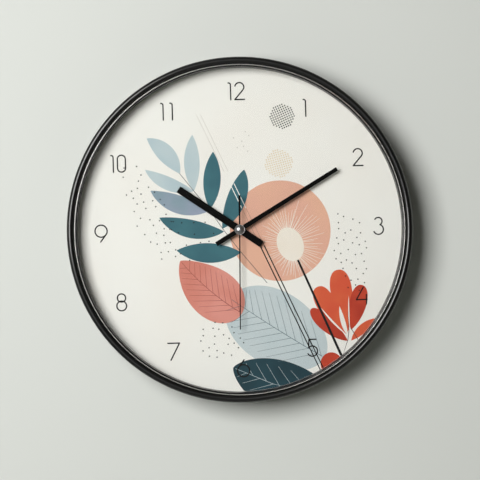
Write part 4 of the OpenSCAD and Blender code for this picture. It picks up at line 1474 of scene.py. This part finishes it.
@dataclass
class Rear:
    """Everything that shows from behind: back plate, hanger, movement case, knob and battery."""

    def build(self) -> None:
        """Dresses the rear, with moulded and pressed edges rounded."""
        look, case = PALETTE, Body.CASE
        for row in (
                ("back_plate", "back_shell", look.back, "back_plastic", case, 0.35 * MM),
                ("hanger_plate", "keyhole_hanger", look.hanger, "hanger_steel", case, 0.25 * MM),
                ("movement_case", "movement_box", look.case, "case_plastic", case, 0.3 * MM),
                ("rear_cover", "movement_lid", look.cover, "cover_plastic", case, 0.25 * MM),
                ("rubber_washer", "soft_washer", look.washer, "washer_rubber", case, 0.2 * MM),
                ("back_plate_screws", "plate_screws", look.zinc, "screw_zinc", case, 0.12 * MM),
                ("hanger_screws", "hanger_bolts", look.zinc, "screw_zinc", case, 0.12 * MM),
                ("movement_screws", "lid_screws", look.zinc, "screw_zinc", case, 0.12 * MM),
                ("mount_screws", "ear_screws", look.zinc, "screw_zinc", case, 0.12 * MM),
                ("setting_knob", "time_knob", look.knob, "knob_plastic", Body.SETTING, 0.18 * MM),
                ("battery_can", "cell_can", look.can, "battery_metal", Body.BATTERY, 0.35 * MM),
                ("battery_sleeve", "cell_sleeve", look.wrap, "battery_wrap", Body.BATTERY, 0.08 * MM)):
            rounded(*row)


@dataclass
class Works:
    """The sealed train, motor and circuit, whose CAD pieces stay and take their finishes."""

    def build(self) -> None:
        """Dresses the works."""
        dress(PALETTE.acetal, "middle_plate", "seconds_wheel", "third_wheel", "intermediate_wheel",
              "rotor_pinion", "coil_bobbin", "minute_pipe", "minute_wheel", "motion_wheel",
              "hour_wheel", "setting_shaft")
        dress(PALETTE.brass, "bushing", "clutch_spring")
        dress(PALETTE.wire, "seconds_arbor")
        dress(PALETTE.magnet, "rotor_magnet")
        dress(PALETTE.sheet, "stator", "coil_core")
        dress(PALETTE.copper, "coil_winding")
        dress(PALETTE.board, "circuit_board")
        dress(PALETTE.resin, "chip_cover")
        dress(PALETTE.crystal, "quartz_crystal")
        dress(PALETTE.zinc, "board_screws")
        dress(PALETTE.contact, "contact_positive", "contact_negative")


# ---- Room, lamps and camera ----


@dataclass
class Studio:
    """A pale wall with the clock on it, a floor, soft lamps and the camera."""

    wall_colour: Colour = linear("#D3D6D1")
    distance: float = 1.84
    lens: float = 155.8
    aim_drop: float = 0.009
    roll: float = 1.6
    floor_drop: float = 1.5
    reach: float = 8.0
    hole_in: float = 4 * MM
    glow: float = 0.8

    def sheet(self, name: str, bm: bmesh.types.BMesh, one_sided: bool) -> None:
        """Makes a backdrop.

        Args:
            name: Its name.
            bm: Its mesh, which is used up.
            one_sided: Whether it can be seen through from behind. If not, it looks evenly pale.
        """
        mesh = bpy.data.meshes.new(name)
        bm.to_mesh(mesh)
        bm.free()
        tree = Tree(bpy.data.materials.new(name))
        tone = tree.noise(0.5, 3)
        tooth = tree.noise(1.2 * MM, 3)
        dark = tuple(c * 0.97 for c in self.wall_colour)
        paint = tree.add("ShaderNodeBsdfPrincipled", None, {
            "Base Color": tree.blend(tone, self.wall_colour, dark), "Roughness": 0.85,
            "Specular IOR Level": 0.2, "Normal": tree.bump(tooth, 0.02 * MM)})
        if one_sided:
            back = tree.add("ShaderNodeNewGeometry", output="Backfacing")
            clear = tree.add("ShaderNodeBsdfTransparent")
            paint = tree.add("ShaderNodeMixShader", None, {0: back, 1: paint, 2: clear})
        else:
            seen = tree.add("ShaderNodeLightPath", output="Is Camera Ray")
            pale = tree.add("ShaderNodeEmission", None, {"Color": (*self.wall_colour, 1.0)})
            paint = tree.add("ShaderNodeMixShader", None, {0: seen * self.glow, 1: paint, 2: pale})
        mesh.materials.append(tree.close(paint))
        sheet = bpy.data.objects.new(name, mesh)
        bpy.context.scene.collection.objects.link(sheet)

    def wall(self) -> None:
        """Makes the wall, open behind the clock and clear from its back, to light and show the rear."""
        bm = bmesh.new()
        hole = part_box("frame_ring")[1].x - self.hole_in
        bmesh.ops.create_circle(bm, cap_ends=False, segments=96, radius=hole)
        made = bmesh.ops.extrude_edge_only(bm, edges=bm.edges[:])["geom"]
        outer = [v for v in made if isinstance(v, bmesh.types.BMVert)]
        bmesh.ops.scale(bm, vec=(self.reach / hole, self.reach / hole, 1), verts=outer)
        bmesh.ops.transform(bm, matrix=HANG, verts=bm.verts)
        bmesh.ops.recalc_face_normals(bm, faces=bm.faces)
        if bm.faces[:][0].normal.y > 0:
            bmesh.ops.reverse_faces(bm, faces=bm.faces)
        self.sheet("wall", bm, True)

    def floor(self) -> None:
        """Makes the floor, well below the clock."""
        bm = bmesh.new()
        drop = Matrix.Translation((0, 0, CENTRE_Z - self.floor_drop))
        bmesh.ops.create_grid(bm, x_segments=1, y_segments=1, size=self.reach, matrix=drop)
        self.sheet("floor", bm, False)

    def lamp(self, name: str, direction: Point, away: float, size: float, power: float,
             colour: Colour) -> None:
        """Hangs a square lamp that faces the clock.

        Args:
            name: Its name.
            direction: Azimuth and elevation that it stands at, in degrees; azimuth 0 is in front.
            away: Its distance.
            size: Its side.
            power: Its power in watts.
            colour: Its colour.
        """
        light = bpy.data.lights.new(name, "AREA")
        light.color = colour
        light.shape = "SQUARE"
        light.size = size
        light.energy = power
        lamp = bpy.data.objects.new(name, light)
        a, e = (math.radians(v) for v in direction)
        back = Vector((math.sin(a) * math.cos(e), -math.cos(a) * math.cos(e), math.sin(e)))
        lamp.location = Vector((0, 0, CENTRE_Z)) + back * away
        lamp.rotation_euler = (-back).to_track_quat("-Z", "Y").to_euler()
        bpy.context.scene.collection.objects.link(lamp)

    def light(self) -> None:
        """Sets the lamps and the room's even light."""
        self.lamp("key", (-24, 11), 1.7, 0.82, 31.5, (1.0, 0.995, 0.99))
        self.lamp("rear_key", (205, 30), 2.2, 1.5, 46, (1.0, 1.0, 1.0))
        self.lamp("rear_fill", (140, 12), 2.4, 1.6, 20, (1.0, 1.0, 1.0))
        tree = Tree(bpy.data.worlds.new("room"))
        toward = tree.add("ShaderNodeVectorMath", {"operation": "DOT_PRODUCT"},
                          {0: tree.place, 1: (-0.87, 0.25, 0.42)}, output="Value")
        seen = tree.add("ShaderNodeLightPath", output="Is Camera Ray")
        even = tree.blend(toward.ramp(-0.1, 0.75), (0.04, 0.038, 0.033), (0.22, 0.215, 0.2))
        pale = tree.blend(seen, even, (0.78, 0.80, 0.78))
        bpy.context.scene.world = tree.close(tree.add("ShaderNodeBackground", None, {"Color": pale}))

    def camera(self) -> None:
        """Sets the camera square to the dial, a little below its centre and slightly rolled."""
        data = bpy.data.cameras.new("camera")
        data.lens = self.lens
        data.sensor_width = 36
        camera = bpy.data.objects.new("camera", data)
        place = Matrix.Translation((0, -self.distance, CENTRE_Z - self.aim_drop))
        level = Matrix.Rotation(math.radians(90), 4, "X")
        camera.matrix_world = place @ level @ Matrix.Rotation(math.radians(-self.roll), 4, "Z")
        bpy.context.scene.collection.objects.link(camera)
        bpy.context.scene.camera = camera

    def build(self) -> None:
        """Sets up the whole room."""
        self.camera()
        self.wall()
        self.floor()
        self.light()
        bpy.context.scene.view_settings.view_transform = "Standard"


def main() -> None:
    """Builds the room and the clock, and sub-assembly by sub-assembly."""
    logging.basicConfig(level=logging.INFO, format="%(name)s %(message)s")
    for part in (Studio(), FrameAndGlass(), Dial(), Hands(), Rear(), Works()):
        log.info("building %s", type(part).__name__)
        part.build()


if __name__ == "__main__":
    main()
